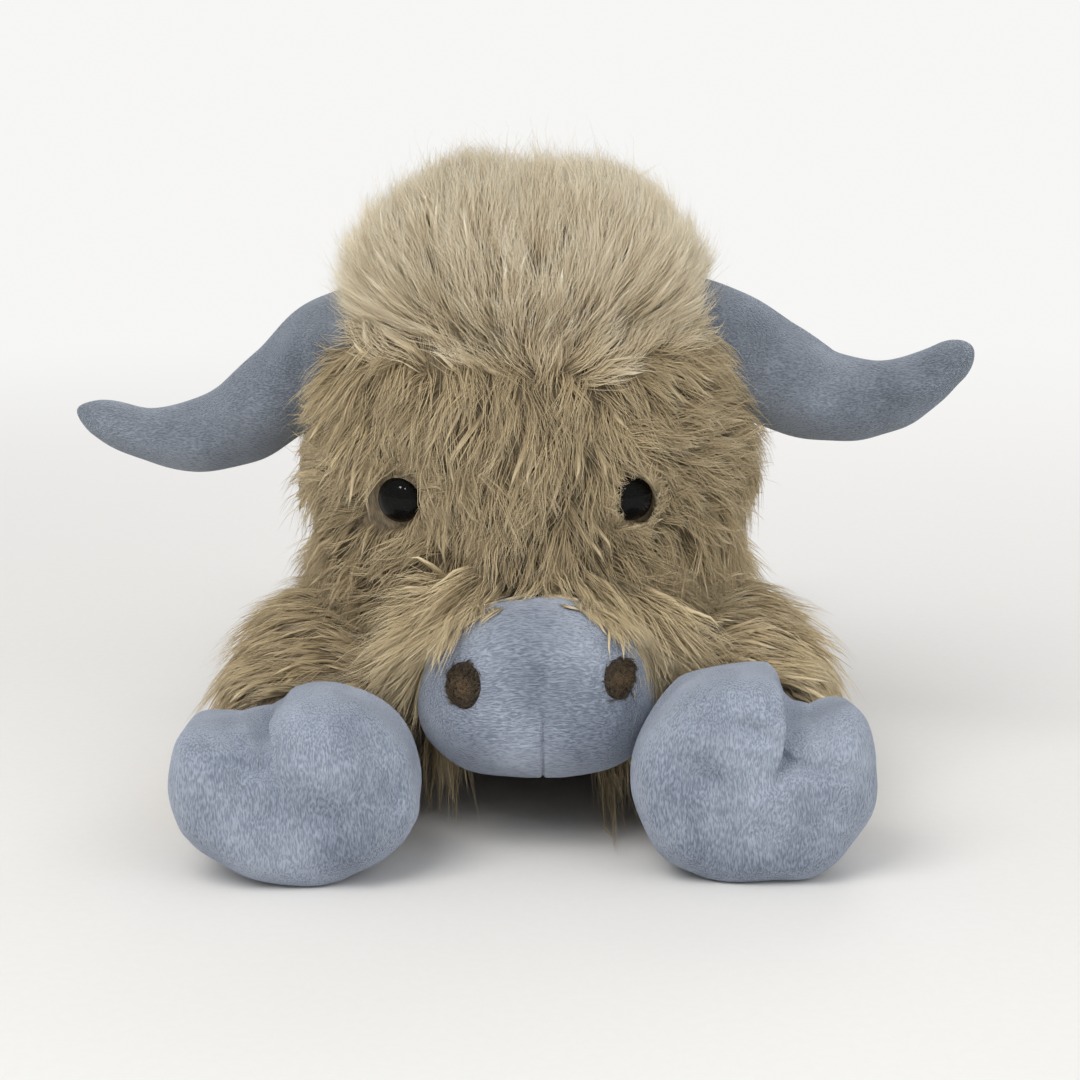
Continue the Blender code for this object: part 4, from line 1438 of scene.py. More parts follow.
@dataclass(frozen=True)
class Topknot:
    """The long pale fur that is sewn over the crown and swept up and back from the hairline."""

    width: float = 0.1030
    depth: float = 0.100
    base: float = 0.138
    top: float = 0.2020
    middle_y: float = -0.062
    hairline_middle: tuple = (0.002, -0.112, 0.1385)
    hairline_width: float = 0.056
    hairline_z: float = 0.1455
    hairline_rise: float = 0.0075
    coat: Coat = Coat(
        locks=1930, in_lock=13, length=0.0230, width=0.00028, lock_radius=0.0030, lift=0.32,
        lift_spread=0.13, droop=0.07, gather=0.09, wander=0.11, swirl=0.20, curl=0.050, shade=0.52,
        lock_spread=0.055, strand_spread=0.08, length_spread=0.10, stray_share=0.05, blade_share=0.12,
    )
    hairline_coat: Coat = Coat(
        locks=520, in_lock=12, length=0.0185, width=0.00030, lock_radius=0.0024, lift=0.40,
        lift_spread=0.30, droop=0.10, gather=0.35, wander=0.24, shade=0.36, lock_spread=0.10,
        stray_share=0.04, blade_share=0.35,
    )

    SHARES = (
        (0.00, 0.86, 0.94),
        (0.25, 0.98, 1.02),
        (0.55, 1.03, 1.02),
        (0.82, 0.99, 0.97),
        (1.00, 0.90, 0.90),
    )

    def form(self) -> Loft:
        """The topknot's backing, from its base up."""
        ends = (0, self.middle_y, self.base), (0, self.middle_y, self.top)
        return Loft.straight(ends, self.SHARES, (self.width / 2, self.depth / 2), ACROSS, end_power=0.6)

    def comb(self, points: Array) -> Array:
        """Away from the nearest place on the hairline's middle stretch, and downwards behind.

        Args:
            points: where the fur grows.

        Returns:
            The direction at each of them.
        """
        reach = self.hairline_width / 2
        start = np.tile(self.hairline_middle, (len(points), 1))
        start[:, 0] += np.clip(0.62 * (points[:, 0] - self.hairline_middle[0]), -reach, reach)
        behind = step(points[:, 1:2], self.middle_y, self.middle_y + 0.05)
        return unit(unit(points - start) - behind * UP * 0.9)

    def hairline_band(self, points: Array, above_it: float) -> Array:
        """Whether points of the head lie between the hairline, which rises to the sides, and the topknot.

        Args:
            points: the places asked about.
            above_it: how far above the hairline the band starts.

        Returns:
            True for the points in the band.
        """
        aside = (points[:, 0] - self.hairline_middle[0]) / (self.width / 2)
        uneven = 0.0012 * lumps(points, 0.006, 24)
        above = points[:, 2] > self.hairline_z + self.hairline_rise * aside**2 + uneven + above_it
        inside = (points[:, 1] < self.middle_y) & (np.abs(aside) < 1.05)
        return above & inside & self.form().outside(points, -0.002)

    def hairline(self, skin: Skin, cow: "Cow") -> Pelt:
        """The topknot's lowest fur, which grows from the forehead and sweeps up with the rest.

        Args:
            skin: the head's backing.
            cow: the parts that the fur keeps clear of.

        Returns:
            The fur.
        """

        def weight(points: Array, normals: Array) -> Array:
            """The band above the hairline, in front of the horns."""
            wanted = self.hairline_band(points, -0.0012)
            for horn in cow.horns.values():
                wanted = wanted & horn.root_ball().outside(points, 0.001)
            return wanted.astype(float)

        return cow.off_the_horns(self.hairline_coat.grown_on(skin, self.comb, Seed.HAIRLINE, weight))

    def dress(self, cow: "Cow") -> None:
        """Makes the topknot's backing and fur.

        Args:
            cow: the parts that it keeps clear of.
        """
        skin = self.form().skin(60, 90)
        skin = skin.moved(lumps(skin.points, 0.045, 21) * 0.0015)
        skin.shape().dress("topknot_backing", PALE_BACKING, "head", ("topknot",), fill=0.7)

        def weight(points: Array, normals: Array) -> Array:
            """None on the underside, which lies on the crown."""
            return step(normals[:, 2], -0.9, -0.3) * (0.7 + 0.3 * step(-normals[:, 1], -0.3, 0.3))

        def shade_at(roots: Array) -> Array:
            """Paler towards the top."""
            return 0.26 * step(roots[:, 2], 0.152, 0.200) - 0.01 + 0.10 * lumps(roots, 0.03, 22)

        def length_at(roots: Array) -> Array:
            """Longer on top."""
            middle = np.exp(-((roots[:, 0] / 0.034) ** 2))
            return 1 + (0.08 + 0.12 * middle) * step(roots[:, 2], 0.178, 0.198)

        pelt = self.coat.grown_on(skin, self.comb, Seed.TOPKNOT, weight, length_at, shade_at)
        cow.off_the_horns(pelt).dress("topknot_fur", "head", PALE_FUR, axis=2)


@dataclass(frozen=True)
class Muzzle:
    """The big minky muzzle: a domed cushion with a seam up its middle."""

    width: float = 0.0745
    height: float = 0.0565
    front_y: float = -0.1600
    back_y: float = -0.0980
    middle_x: float = 0.0035
    middle_z: float = 0.0503
    narrowing: float = 0.12
    seam_x: float = 0.0052
    seam_top: float = 0.056
    seam_depth: float = 0.0009
    seam_width: float = 0.00045
    seam_roll: float = 0.0055
    fringe_coat: Coat = Coat(
        locks=330, in_lock=11, length=0.0240, lock_radius=0.0020, lift=1.15, droop=0.40, gather=0.70,
        wander=0.38, swirl=0.30, shade=0.90, lock_spread=0.12, palest=0.97,
    )
    wisp_coat: Coat = Coat(
        locks=170, length=0.0168, width=0.00034, lock_radius=0.0017, lock_width=0.0020, lift=0.32,
        droop=0.42, gather=0.75, wander=0.34, shade=0.84, lock_spread=0.13, blade_share=0.3, palest=0.97,
    )
    wisp_y: tuple = (-0.1380, -0.1185)
    wisp_rise: float = 0.0203

    SHARES = ((0.00, 0.94, 0.94), (0.40, 1.00, 1.00), (0.75, 1.02, 1.02), (1.00, 1.00, 1.00))

    def form(self) -> Loft:
        """The muzzle, from inside the face to its front."""
        ends = [(self.middle_x, y, self.middle_z) for y in (self.back_y, self.front_y)]
        kind = {"end_power": 0.62, "oval_power": 0.86, "narrowing": self.narrowing, "crowding": 0.8}
        return Loft.straight(ends, self.SHARES, (self.width / 2, self.height / 2), ACROSS, **kind)

    def skin(self) -> Skin:
        """The cloth, drawn in along the seam, with the stuffing swelling on both sides of it."""
        skin = self.form().skin(130, 190)
        points = skin.points
        gap = points[..., 0] - self.seam_x
        front_starts = (self.front_y + self.back_y) / 2
        low = step(-points[..., 2], -self.seam_top, -self.seam_top + 0.018)
        front = step(-points[..., 1], -front_starts, -front_starts + 0.012)
        groove = np.exp(-((gap / self.seam_width) ** 2)) + 0.5 * np.exp(-((gap / self.seam_roll) ** 2))
        sunk = -self.seam_depth * groove * low * front
        return skin.moved(sunk + lumps(points, 0.024, 31) * 0.0004)

    def fringe_band(self, points: Array, reach: float) -> Array:
        """Whether points of the head lie just round the muzzle's upper half.

        Args:
            points: the places asked about.
            reach: how far from the muzzle the band goes.

        Returns:
            True for the points in the band.
        """
        form = self.form()
        near = form.depth_share(points, reach)[0] < 1
        return form.outside(points) & near & (points[:, 2] > self.middle_z + 0.004)

    def aside(self, points: Array) -> Array:
        """How far to the side of the muzzle's middle each point is: 1 at its edge."""
        return (points[:, 0] - self.middle_x) / (self.width / 2)

    def wisps(self, cow: "Cow") -> Pelt:
        """Fur of the face that lies forwards over the muzzle's top and hangs over its shoulders.

        Args:
            cow: the parts that the fur keeps clear of.

        Returns:
            The fur.
        """

        def weight(points: Array, normals: Array) -> Array:
            """The muzzle's upper side next to the face, fullest towards its shoulders."""
            near = (points[:, 1] > self.wisp_y[0]) & (points[:, 1] < self.wisp_y[1])
            high = points[:, 2] > self.middle_z + self.wisp_rise
            return near * high * step(np.abs(self.aside(points)), 0.24, 0.60)

        def comb(points: Array) -> Array:
            """Forwards, and outwards over the shoulders."""
            over = self.aside(points)[:, None]
            return unit(1.15 * over * ACROSS - 0.20 * over**2 * UP - 0.62 * BACKWARDS)

        def length_at(roots: Array) -> Array:
            """Short over the middle of the muzzle."""
            return 0.35 + 0.65 * step(np.abs(self.aside(roots)), 0.22, 0.55)

        skin = self.form().skin(80, 120)
        return cow.laid(self.wisp_coat.grown_on(skin, comb, Seed.WISPS, weight, length_at), 0.5)

    def fringe(self, skin: Skin, cow: "Cow") -> Pelt:
        """Longer pale fur round the muzzle's upper edge, which parts over it and hangs down its sides.

        Args:
            skin: the head's backing.
            cow: the parts that the fur keeps clear of.

        Returns:
            The fur.
        """

        def weight(points: Array, normals: Array) -> Array:
            """A band round the upper half of the muzzle, fullest over its shoulders."""
            full = 0.25 + 0.75 * step(np.abs(self.aside(points)), 0.25, 0.60)
            return self.fringe_band(points, 0.010) * full

        def comb(points: Array) -> Array:
            """Sideways and down over the muzzle's shoulders."""
            over = self.aside(points)[:, None]
            return unit(1.2 * over * ACROSS - (0.30 + 0.45 * over**2) * UP - 0.80 * BACKWARDS)

        def length_at(roots: Array) -> Array:
            """Short over the middle of the muzzle."""
            return 0.38 + 0.62 * step(np.abs(self.aside(roots)), 0.20, 0.60)

        return cow.laid(self.fringe_coat.grown_on(skin, comb, Seed.FRINGE, weight, length_at), 0.5)

    def dress(self) -> None:
        """Makes the muzzle."""
        self.skin().shape().dress("muzzle", MUZZLE_MINKY_PAINTED_SHADE, "head", ("muzzle_cover",), fill=0.85)


@dataclass(frozen=True)
class Nostril:
    """A brown plush patch that is sewn a little into the muzzle."""

    side: Side
    x: float
    z: float
    lean: float
    width: float = 0.0110
    height: float = 0.0140
    bulge: float = 0.0007
    back: float = 0.0022
    coat: Coat = Coat(
        locks=440, in_lock=3, length=0.0023, width=0.00026, lock_radius=0.0005, lock_width=0.0005,
        lift=0.70, droop=0.0, gather=0.3, wander=0.5, swirl=0.6, swirl_size=0.004, lock_spread=0.26,
        stray_share=0.0, blade_share=0.1,
    )

    def skin(self, muzzle: Muzzle) -> Skin:
        """The patch: an oval dome laid on the muzzle.

        Formula: at the share r of the radius and the angle a, the point lies at the muzzle's surface and
        rises by bulge * (1 - r^4), and its underside sinks into the cloth.

        Args:
            muzzle: what the patch is sewn on.

        Returns:
            The patch's surface.
        """
        rings, sides = 26, 56
        turn = np.linspace(0, math.pi, rings)[:, None]
        angle = np.arange(sides) * math.tau / sides
        radius = np.sin(turn)
        ragged = 1 + 0.020 * np.sin(3 * angle + self.lean * 9) + 0.008 * np.sin(7 * angle + 1)
        over = radius * np.cos(angle) * self.width / 2 * ragged
        rise = radius * np.sin(angle) * self.height / 2 * ragged
        x = self.x + over * math.cos(self.lean) - rise * math.sin(self.lean)
        z = self.z + over * math.sin(self.lean) + rise * math.cos(self.lean)
        facing = muzzle.skin().points
        facing = facing[facing.shape[0] // 2 :].reshape(-1, 3)
        flat = np.stack([x.ravel(), z.ravel()], -1)
        gaps = ((flat[:, None] - facing[None, :, [0, 2]]) ** 2).sum(axis=-1)
        nearest = np.argsort(gaps, axis=1)[:, :4]
        near = np.take_along_axis(gaps, nearest, axis=1)
        weights = 1 / (near + 1e-9)
        y = (facing[nearest, 1] * weights).sum(axis=1) / weights.sum(axis=1)
        outer = np.broadcast_to(np.cos(turn), over.shape)
        sink = np.where(outer > 0, -self.bulge * (1 - radius**4), self.back * (1 - radius**4))
        return Skin(np.stack([x, y.reshape(x.shape) + sink, z], -1))

    def dress(self, muzzle: Muzzle) -> None:
        """Makes the patch and its fuzz.

        Args:
            muzzle: what the patch is sewn on.
        """
        skin = self.skin(muzzle)
        word = self.side.word
        middle = np.array([self.x, 0, self.z])
        skin.shape().dress(f"nostril_patch_{word}", BROWN_BACKING, "head", (f"nostril_{word}",))

        def weight(points: Array, normals: Array) -> Array:
            """Only the front of the patch."""
            return (normals[:, 1] < -0.15).astype(float)

        def comb(points: Array) -> Array:
            """Inwards to the patch's middle, and round it."""
            inwards = middle - points * (1, 0, 1)
            return unit(inwards + np.cross(inwards, BACKWARDS))

        def shade_at(roots: Array) -> Array:
            """Darker towards the rim."""
            gap = np.linalg.norm((roots - middle) * (1, 0, 1), axis=-1)
            return 0.42 - 0.85 * step(gap, self.width * 0.16, self.width * 0.50)

        pelt = self.coat.grown_on(skin, comb, Seed.NOSTRILS + int(self.side.hand), weight, None, shade_at)
        pelt.dress(f"nostril_fuzz_{word}", "head", BROWN_FUZZ)


@dataclass(frozen=True)
class Eye:
    """A glossy safety eye, turned about the axis of its solid."""

    side: Side
    seat: Array
    facing: Array
    tip: Array
    radius: float
    dome: float = 0.0048
    rim: float = 0.0011
    stem_radius: float = 0.002
    stem_length: float = 0.0115
    shown: tuple = (0.98, 0.98)

    @classmethod
    def of_solid(cls, side: Side, radius: float, dome: float, shown: tuple) -> "Eye":
        """Finds the axis of an eye's solid.

        Formula: the solid is round, so of the three main axes of its vertices the axis of turning is the
        one whose spread differs most from the other two.

        Args:
            side: which eye.
            radius: the shown eye's radius.
            dome: how far it stands out of its seat.
            shown: the shares of the radius across and up that no fur covers.

        Returns:
            The eye.
        """
        mesh = bpy.data.objects[f"eye_{side.word}"].data
        points = np.empty(len(mesh.vertices) * 3)
        mesh.vertices.foreach_get("co", points)
        points = points.reshape(-1, 3)
        spreads, axes = np.linalg.eigh(np.cov((points - points.mean(axis=0)).T))
        odd = 0 if spreads[1] - spreads[0] > spreads[2] - spreads[1] else 2
        facing = axes[:, odd] * -np.sign(axes[1, odd])
        reach = points @ facing
        rim = points[np.abs(reach - (reach.max() - dome)) < dome / 20]
        seat = rim.mean(axis=0)
        return cls(side, seat, facing, seat + facing * dome, radius, dome=dome, shown=shown)

    def shape(self) -> Shape:
        """The eye: an elliptic dome, a rounded rim and a stem.

        Formula: each point of the profile (radius, height) is turned round the axis at even steps.
        """
        rise = np.linspace(0, math.pi / 2, 28)
        dome = np.stack([self.radius * np.sin(rise), self.dome * np.cos(rise)], -1)
        turn = np.linspace(0, math.pi / 2, 8)[1:]
        under = np.stack([self.radius - self.rim * 0.5 * (1 - np.cos(turn)), -self.rim * np.sin(turn)], -1)
        stem = np.array([[self.stem_radius, -self.rim], [self.stem_radius, -self.stem_length]])
        profile = np.concatenate([dome, under, stem, [[0.0, -self.stem_length]]])
        angle = np.arange(96) * math.tau / 96
        side = unit(np.cross(self.facing, UP))
        top = np.cross(side, self.facing)
        round_it = np.cos(angle)[:, None] * side + np.sin(angle)[:, None] * top
        points = (
            self.seat
            + profile[:, 0, None, None] * round_it[None]
            + profile[:, 1, None, None] * self.facing
        )
        return Skin(points).shape()

    @property
    def sunken(self) -> bool:
        """Whether the pile lies over the eye's rim."""
        return self.shown[0] < 0.9

    def gap(self, points: Array) -> Array:
        """How far each point lies from the eye's seat."""
        return np.linalg.norm(points - self.seat, axis=-1)

    def uncovered(self, strands: Strands) -> Strands:
        """Drops the strands that cross the shown part of the eye, as the camera sees it.

        Args:
            strands: fur near the eye.

        Returns:
            The strands that are left.
        """
        axis = unit(VIEW.place() - self.tip)
        across = unit(np.cross(UP, axis))
        up = np.cross(axis, across)
        samples = np.linspace(0, 1, 9)
        places = np.array(strands.PLACES)
        row = np.clip(np.searchsorted(places, samples, side="right") - 1, 0, len(places) - 2)
        share = ((samples - places[row]) / (places[row + 1] - places[row]))[None, :, None]
        points = strands.paths[:, row] * (1 - share) + strands.paths[:, row + 1] * share
        offset = (points - self.tip) / self.radius
        aside = np.hypot(offset @ across / self.shown[0], offset @ up / self.shown[1])
        room = 1 + 0.35 * strands.widths[:, None] / self.radius
        return strands.kept((aside > room).all(axis=1))

    def dress(self) -> None:
        """Makes the eye, and gives its washer's solid a finish."""
        word = self.side.word
        self.shape().dress(f"safety_eye_{word}", BLACK_GLOSS, "head", (f"eye_{word}",))
        for slot in bpy.data.objects[f"eye_washer_{word}"].material_slots:
            slot.material = WARDROBE.material(WASHER_PLASTIC)


@dataclass(frozen=True)
class Horn:
    """A curved minky horn: it leaves the head sideways, dips and rises to its tip.

    `shares` has rows of the place along it, and the shares of the dip and of the root's radius there.
    """

    side: Side
    root_x: float
    root_z: float
    root_radius: float
    reach: float
    dip: float
    shares: tuple
    middle_y: float = -0.053
    tip_forward: float = 0.006

    def form(self) -> Loft:
        """The horn, from its root inside the head to its tip."""
        place, dip, radius = np.array(self.shares).T
        columns = [
            place,
            self.root_x + self.side.hand * place * self.reach,
            self.middle_y - place * self.tip_forward,
            self.root_z - dip * self.dip,
            radius * self.root_radius,
            radius * self.root_radius,
        ]
        rings = np.stack(columns, -1)
        return Loft(rings, BACKWARDS, end_power=1.0, oval_power=1.0, end_shares=(0.04, 0.07))

    def root_ball(self) -> Loft:
        """The straight stretch of the horn next to the head, for keeping fur off it."""
        start = np.array([self.root_x - self.side.hand * 0.02, self.middle_y, self.root_z + 0.001])
        end = start + np.array([self.side.hand * 0.075, 0, -0.006])
        shares = ((0.0, 1.0, 1.0), (0.5, 1.0, 1.0), (1.0, 0.95, 0.95))
        halves = self.root_radius, self.root_radius
        return Loft.straight((start, end), shares, halves, BACKWARDS, end_power=0.22, oval_power=1.0)

    def dress(self) -> None:
        """Makes the horn."""
        word = self.side.word
        skin = self.form().skin(130, 64)
        skin = skin.moved(lumps(skin.points, 0.020, 41 + int(self.side.hand)) * 0.0005)
        nodes = f"horn_{word}", f"horn_stuffing_{word}"
        skin.shape().dress(f"minky_horn_{word}", HORN_MINKY_PAINTED_SHADE, f"{word}_horn", nodes, fill=0.9)


@dataclass(frozen=True)
class Crease:
    """A crease or dent in a hoof's front.

    It runs through `points`, each given as the share across from -1 to 1, the share of the height and the
    share of the depth. A positive depth pushes the cloth in. Where `sharp` is 1 or -1 the crease has a
    sharp edge, beyond which the cloth on that side stays where it was.
    """

    points: tuple
    depth: float
    reach: float
    sharp: int = 0
    edge: float = 0.0006


@dataclass(frozen=True)
class Hoof:
    """A stuffed minky hoof that stands on the floor with its sole facing outwards.

    `drop` lowers the top: rows of the share across and the share of the height that is taken off there.
    `rise` lifts the underside in the same way.
    """

    width: float
    height: float
    length: float
    x: float
    sole_y: float
    facing: float
    drop: tuple = ((-1.0, 0.0), (1.0, 0.0))
    rise: tuple = ((-1.0, 0.0), (1.0, 0.0))
    creases: tuple = ()
    seed: int = 50
    oval_power: float = 0.90
    sag: float = 0.0015
    fine: int = 230

    SHARES = ((0.00, 0.76, 0.76), (0.30, 0.96, 0.96), (0.62, 1.01, 1.01), (1.00, 1.00, 1.00))

    def form(self) -> Loft:
        """The hoof, from its leg to its sole."""
        middle = self.height / 2 - self.sag
        inner_y = self.sole_y - self.facing * self.length
        ends = (self.x, inner_y, middle), (self.x, self.sole_y, middle)
        halves = self.width / 2, self.height / 2
        kind = {"oval_power": self.oval_power, "end_shares": (0.5, 0.26), "end_rows": 0.36}
        return Loft.straight(ends, self.SHARES, halves, ACROSS * -self.facing, end_power=0.46, **kind)

    def skin(self) -> Skin:
        """The cloth with its dropped top, its creases and its flat foot."""
        skin = self.form().skin(round(self.fine * 0.72), self.fine)
        points = skin.points.copy()
        across = (points[..., 0] - self.x) / (self.width / 2)
        high = (points[..., 2] + self.sag) / self.height
        lowered = np.interp(across, *np.transpose(self.drop)) * step(high, 0.45, 1.0)
        lifted = np.interp(across, *np.transpose(self.rise)) * step(1 - high, 0.50, 1.0)
        points[..., 2] += (lifted - lowered) * self.height
        skin = Skin(points)
        high = (points[..., 2] + self.sag) / self.height
        front = step((points[..., 1] - self.sole_y) * self.facing, -self.length * 0.55, -self.length * 0.20)
        pushed = sum(self._pushed(crease, across, high) for crease in self.creases)
        skin = skin.moved(-pushed * front + lumps(points, 0.022, self.seed) * 0.0006)
        return skin.on_floor(0.0015)

    def _pushed(self, crease: Crease, across: Array, high: Array) -> Array:
        """How far one crease pushes the cloth in.

        Formula: depth * q * exp(-(d / (reach * (0.4 + 0.6 q)))^2), with d the distance to the nearest of
        the crease's segments and q its share of the depth there. A sharp crease multiplies that by a step
        across its line.

        Args:
            crease: the crease.
            across: each point's share across.
            high: each point's share of the height.

        Returns:
            The depth at each point.
        """
        scale = np.array([self.width / 2, self.height])
        flat = np.stack([across, high], -1) * scale
        table = np.array(crease.points)
        points, shares = table[:, :2] * scale, table[:, 2]
        nearest = np.full(across.shape, np.inf)
        signed, deep = np.zeros((2, *across.shape))
        for start, end, first, last in zip(points[:-1], points[1:], shares[:-1], shares[1:]):
            way = end - start
            share = np.clip((flat - start) @ way / max(way @ way, 1e-12), 0, 1)
            offset = flat - (start + share[..., None] * way)
            gap = np.linalg.norm(offset, axis=-1)
            closer = gap < nearest
            nearest = np.where(closer, gap, nearest)
            signed = np.where(closer, offset[..., 0], signed)
            deep = np.where(closer, first + (last - first) * share, deep)
        pushed = crease.depth * deep * np.exp(-((nearest / (crease.reach * (0.4 + 0.6 * deep))) ** 2))
        if crease.sharp:
            pushed = pushed * (1 - step(signed * crease.sharp, -crease.edge, crease.edge))
        return pushed


@dataclass(frozen=True)
class Leg:
    """A furred leg that lies on the floor and ends in a hoof.

    `root` is the X and Y of its root, and `shares` are its rows for Loft.straight.
    """

    side: Side
    end: End
    hoof: Hoof
    root: tuple
    width: float
    height: float
    shares: tuple
    coat: Coat
    hoof_overlap: float = 0.020
    inset: float = 0.006

    @property
    def name(self) -> str:
        """The leg's name, as the bodies use it."""
        return f"{self.side.word}_{self.end.value}_leg"

    def form(self) -> Loft:
        """The leg's backing, from the body to the hoof."""
        hoof = self.hoof
        ankle = (hoof.x, hoof.sole_y - hoof.facing * (hoof.length - self.hoof_overlap), hoof.height / 2)
        root = (*self.root, self.height / 2 - self.inset / 2)
        halves = self.width / 2 - self.inset, self.height / 2 - self.inset / 2
        return Loft.straight((root, ankle), self.shares, halves, ACROSS * -hoof.facing, end_power=0.5)

    def comb(self, points: Array) -> Array:
        """Outwards over the leg and down its side, with a lean towards the hoof.

        Args:
            points: where the fur grows.

        Returns:
            The direction at each of them.
        """
        hand = self.side.hand
        middle = self.hoof.x - hand * 0.02
        past = step(hand * (points[:, :1] - middle), -0.02, 0.035)
        lean = self.hoof.facing * 0.18 * BACKWARDS
        return unit(hand * ACROSS * (1.0 - 0.25 * past) + lean - UP * (0.05 + 0.45 * past))

    def dress(self, cow: "Cow") -> None:
        """Makes the hoof, and the leg's backing and fur.

        Args:
            cow: the parts that it keeps clear of.
        """
        side, end = self.side.word, self.end.value
        hoof = self.hoof.skin().shape()
        hoof.dress(f"minky_hoof_{end}_{side}", UPRIGHT_MINKY, self.name, (f"{end}_hoof_{side}",), fill=0.85)
        head, hoof_form, body = cow.head.form(), self.hoof.form(), cow.body.form()
        skin = self.form().skin(46, 60).on_floor(0.003)
        if self.end is End.FRONT:
            skin = carved(skin, head, 0.0010)
        nodes = f"{end}_leg_{side}", f"{end}_leg_stuffing_{side}"
        skin.shape().dress(f"leg_backing_{end}_{side}", TAN_BACKING, self.name, nodes, fill=0.8)

        def weight(points: Array, normals: Array) -> Array:
            """None under the leg, or inside the head, the body and the hoof."""
            wanted = step(normals[:, 2], -0.75, -0.2)
            for form, margin in ((head, 0.0004), (body, 0.0), (hoof_form, 0.0)):
                wanted = wanted * form.outside(points, margin)
            return wanted

        seed = Seed.LEGS + int(self.side.hand) + 10 * int(self.end is End.HIND)

        def shade_at(roots: Array) -> Array:
            """Broad pale and dark patches, and paler on the cow's left as painted light, as if more light
            fell on that side.
            """
            return 0.14 * lumps(roots, 0.03, seed) + 0.25 * self.side.hand - 0.15

        def length_at(roots: Array) -> Array:
            """Short where the head presses on the leg."""
            return np.where(head.depth_share(roots, 0.0024)[0] < 1, 0.34, 1.0)

        pelt = self.coat.grown_on(skin, self.comb, seed, weight, length_at, shade_at)
        pelt = pelt.clear_of(head, 0.0, 0.7).clear_of(hoof_form, 0.0008).off_the_floor(0.0012)
        pelt.dress(f"leg_fur_{end}_{side}", self.name, TAN_FUR, axis=1)


def carved(skin: Skin, form: Loft, margin: float) -> Skin:
    """Draws a surface in towards the middles of its rings until it is outside a form.

    Formula: for each point, the largest share of the way from its ring's middle that lies outside is found
    by halving the span twelve times.

    Args:
        skin: the surface.
        form: what it may not run into.
        margin: how far off the form it stays.

    Returns:
        The new surface.
    """
    middles = np.broadcast_to(skin.points.mean(axis=1, keepdims=True), skin.points.shape)
    away = (skin.points - middles).reshape(-1, 3)
    middles = middles.reshape(-1, 3)
    low = np.zeros((len(away), 1))
    high = np.ones((len(away), 1))
    outside = form.outside(middles + away, margin)[:, None]
    for _ in range(12):
        share = (low + high) / 2
        clear = form.outside(middles + away * share, margin)[:, None]
        low = np.where(clear, share, low)
        high = np.where(clear, high, share)
    share = np.where(outside, 1.0, low)
    return Skin((middles + away * share).reshape(skin.points.shape))


@dataclass(frozen=True)
class Body:
    """The furred body that lies on its belly."""

    length: float = 0.160
    width: float = 0.136
    height: float = 0.090
    front_y: float = -0.040
    coat: Coat = Coat(locks=1280, in_lock=5, length=0.0215, width=0.00058, lock_width=0.0036)

    SHARES = (
        (0.00, 0.62, 0.72),
        (0.20, 0.90, 0.92),
        (0.48, 1.02, 1.02),
        (0.75, 1.02, 1.00),
        (1.00, 0.86, 0.86),
    )

    def form(self) -> Loft:
        """The body's backing, from the neck to the rump."""
        ends = [(0, y, self.height / 2) for y in (self.front_y, self.front_y + self.length)]
        return Loft.straight(ends, self.SHARES, (self.width / 2, self.height / 2), -ACROSS, end_power=0.7)

    def comb(self, points: Array) -> Array:
        """Backwards, and down the flanks and the rump.

        Args:
            points: where the fur grows.

        Returns:
            The direction at each of them.
        """
        flank = step(np.abs(points[:, :1]), 0.02, 0.07)
        rump = step(points[:, 1:2], 0.07, 0.125)
        down = 0.9 * flank + 0.9 * rump + 0.05
        return unit(BACKWARDS * (1 - 0.55 * flank - 0.3 * rump) - UP * down)

    def dress(self, cow: "Cow") -> None:
        """Makes the body's backing and fur.

        Args:
            cow: the parts that it keeps clear of.
        """
        skin = carved(self.form().skin(60, 80).on_floor(0.004), cow.head.form(), 0.0010)
        nodes = "body_cover", "body_stuffing"
        skin.shape().dress("body_backing", TAN_BACKING, "torso", nodes, fill=0.8)
        inside = [cow.head.form(), *(leg.form() for leg in cow.legs)]

        def weight(points: Array, normals: Array) -> Array:
            """None under the body, or inside the head and the legs."""
            wanted = step(normals[:, 2], -0.85, -0.3)
            for form in inside:
                wanted = wanted * form.outside(points, 0.001)
            return wanted

        def shade_at(roots: Array) -> Array:
            """Broad pale and dark patches."""
            return 0.14 * lumps(roots, 0.035, 51)

        pelt = self.coat.grown_on(skin, self.comb, Seed.BODY, weight, None, shade_at)
        pelt.off_the_floor(0.0012).dress("body_fur", "torso", TAN_FUR, axis=1)


@dataclass(frozen=True)
class Flap:
    """A small furred piece on a straight path: an ear, or the tuft of the tail.

    Its name is its solid's, and `halves` are its half sizes across and up.
    """

    name: str
    body: str
    start: tuple
    end: tuple
    halves: tuple
    across: Array
    shares: tuple
    coat: Coat
    seed: int

    def dress(self) -> None:
        """Makes the flap's backing and its fur, which is combed towards its end."""
        way = unit(np.array(self.end) - np.array(self.start))
        form = Loft.straight((self.start, self.end), self.shares, self.halves, self.across, end_power=0.6)
        skin = form.skin(40, 48).on_floor(0.002)
        skin.shape().dress(f"{self.name}_backing", TAN_BACKING, self.body, (self.name,), fill=0.4)

        def comb(points: Array) -> Array:
            """Along the flap, towards its end."""
            return np.broadcast_to(way, points.shape)

        pelt = self.coat.grown_on(skin, comb, self.seed).off_the_floor(0.001)
        pelt.dress(f"{self.name}_fur", self.body, TAN_FUR, axis=1)


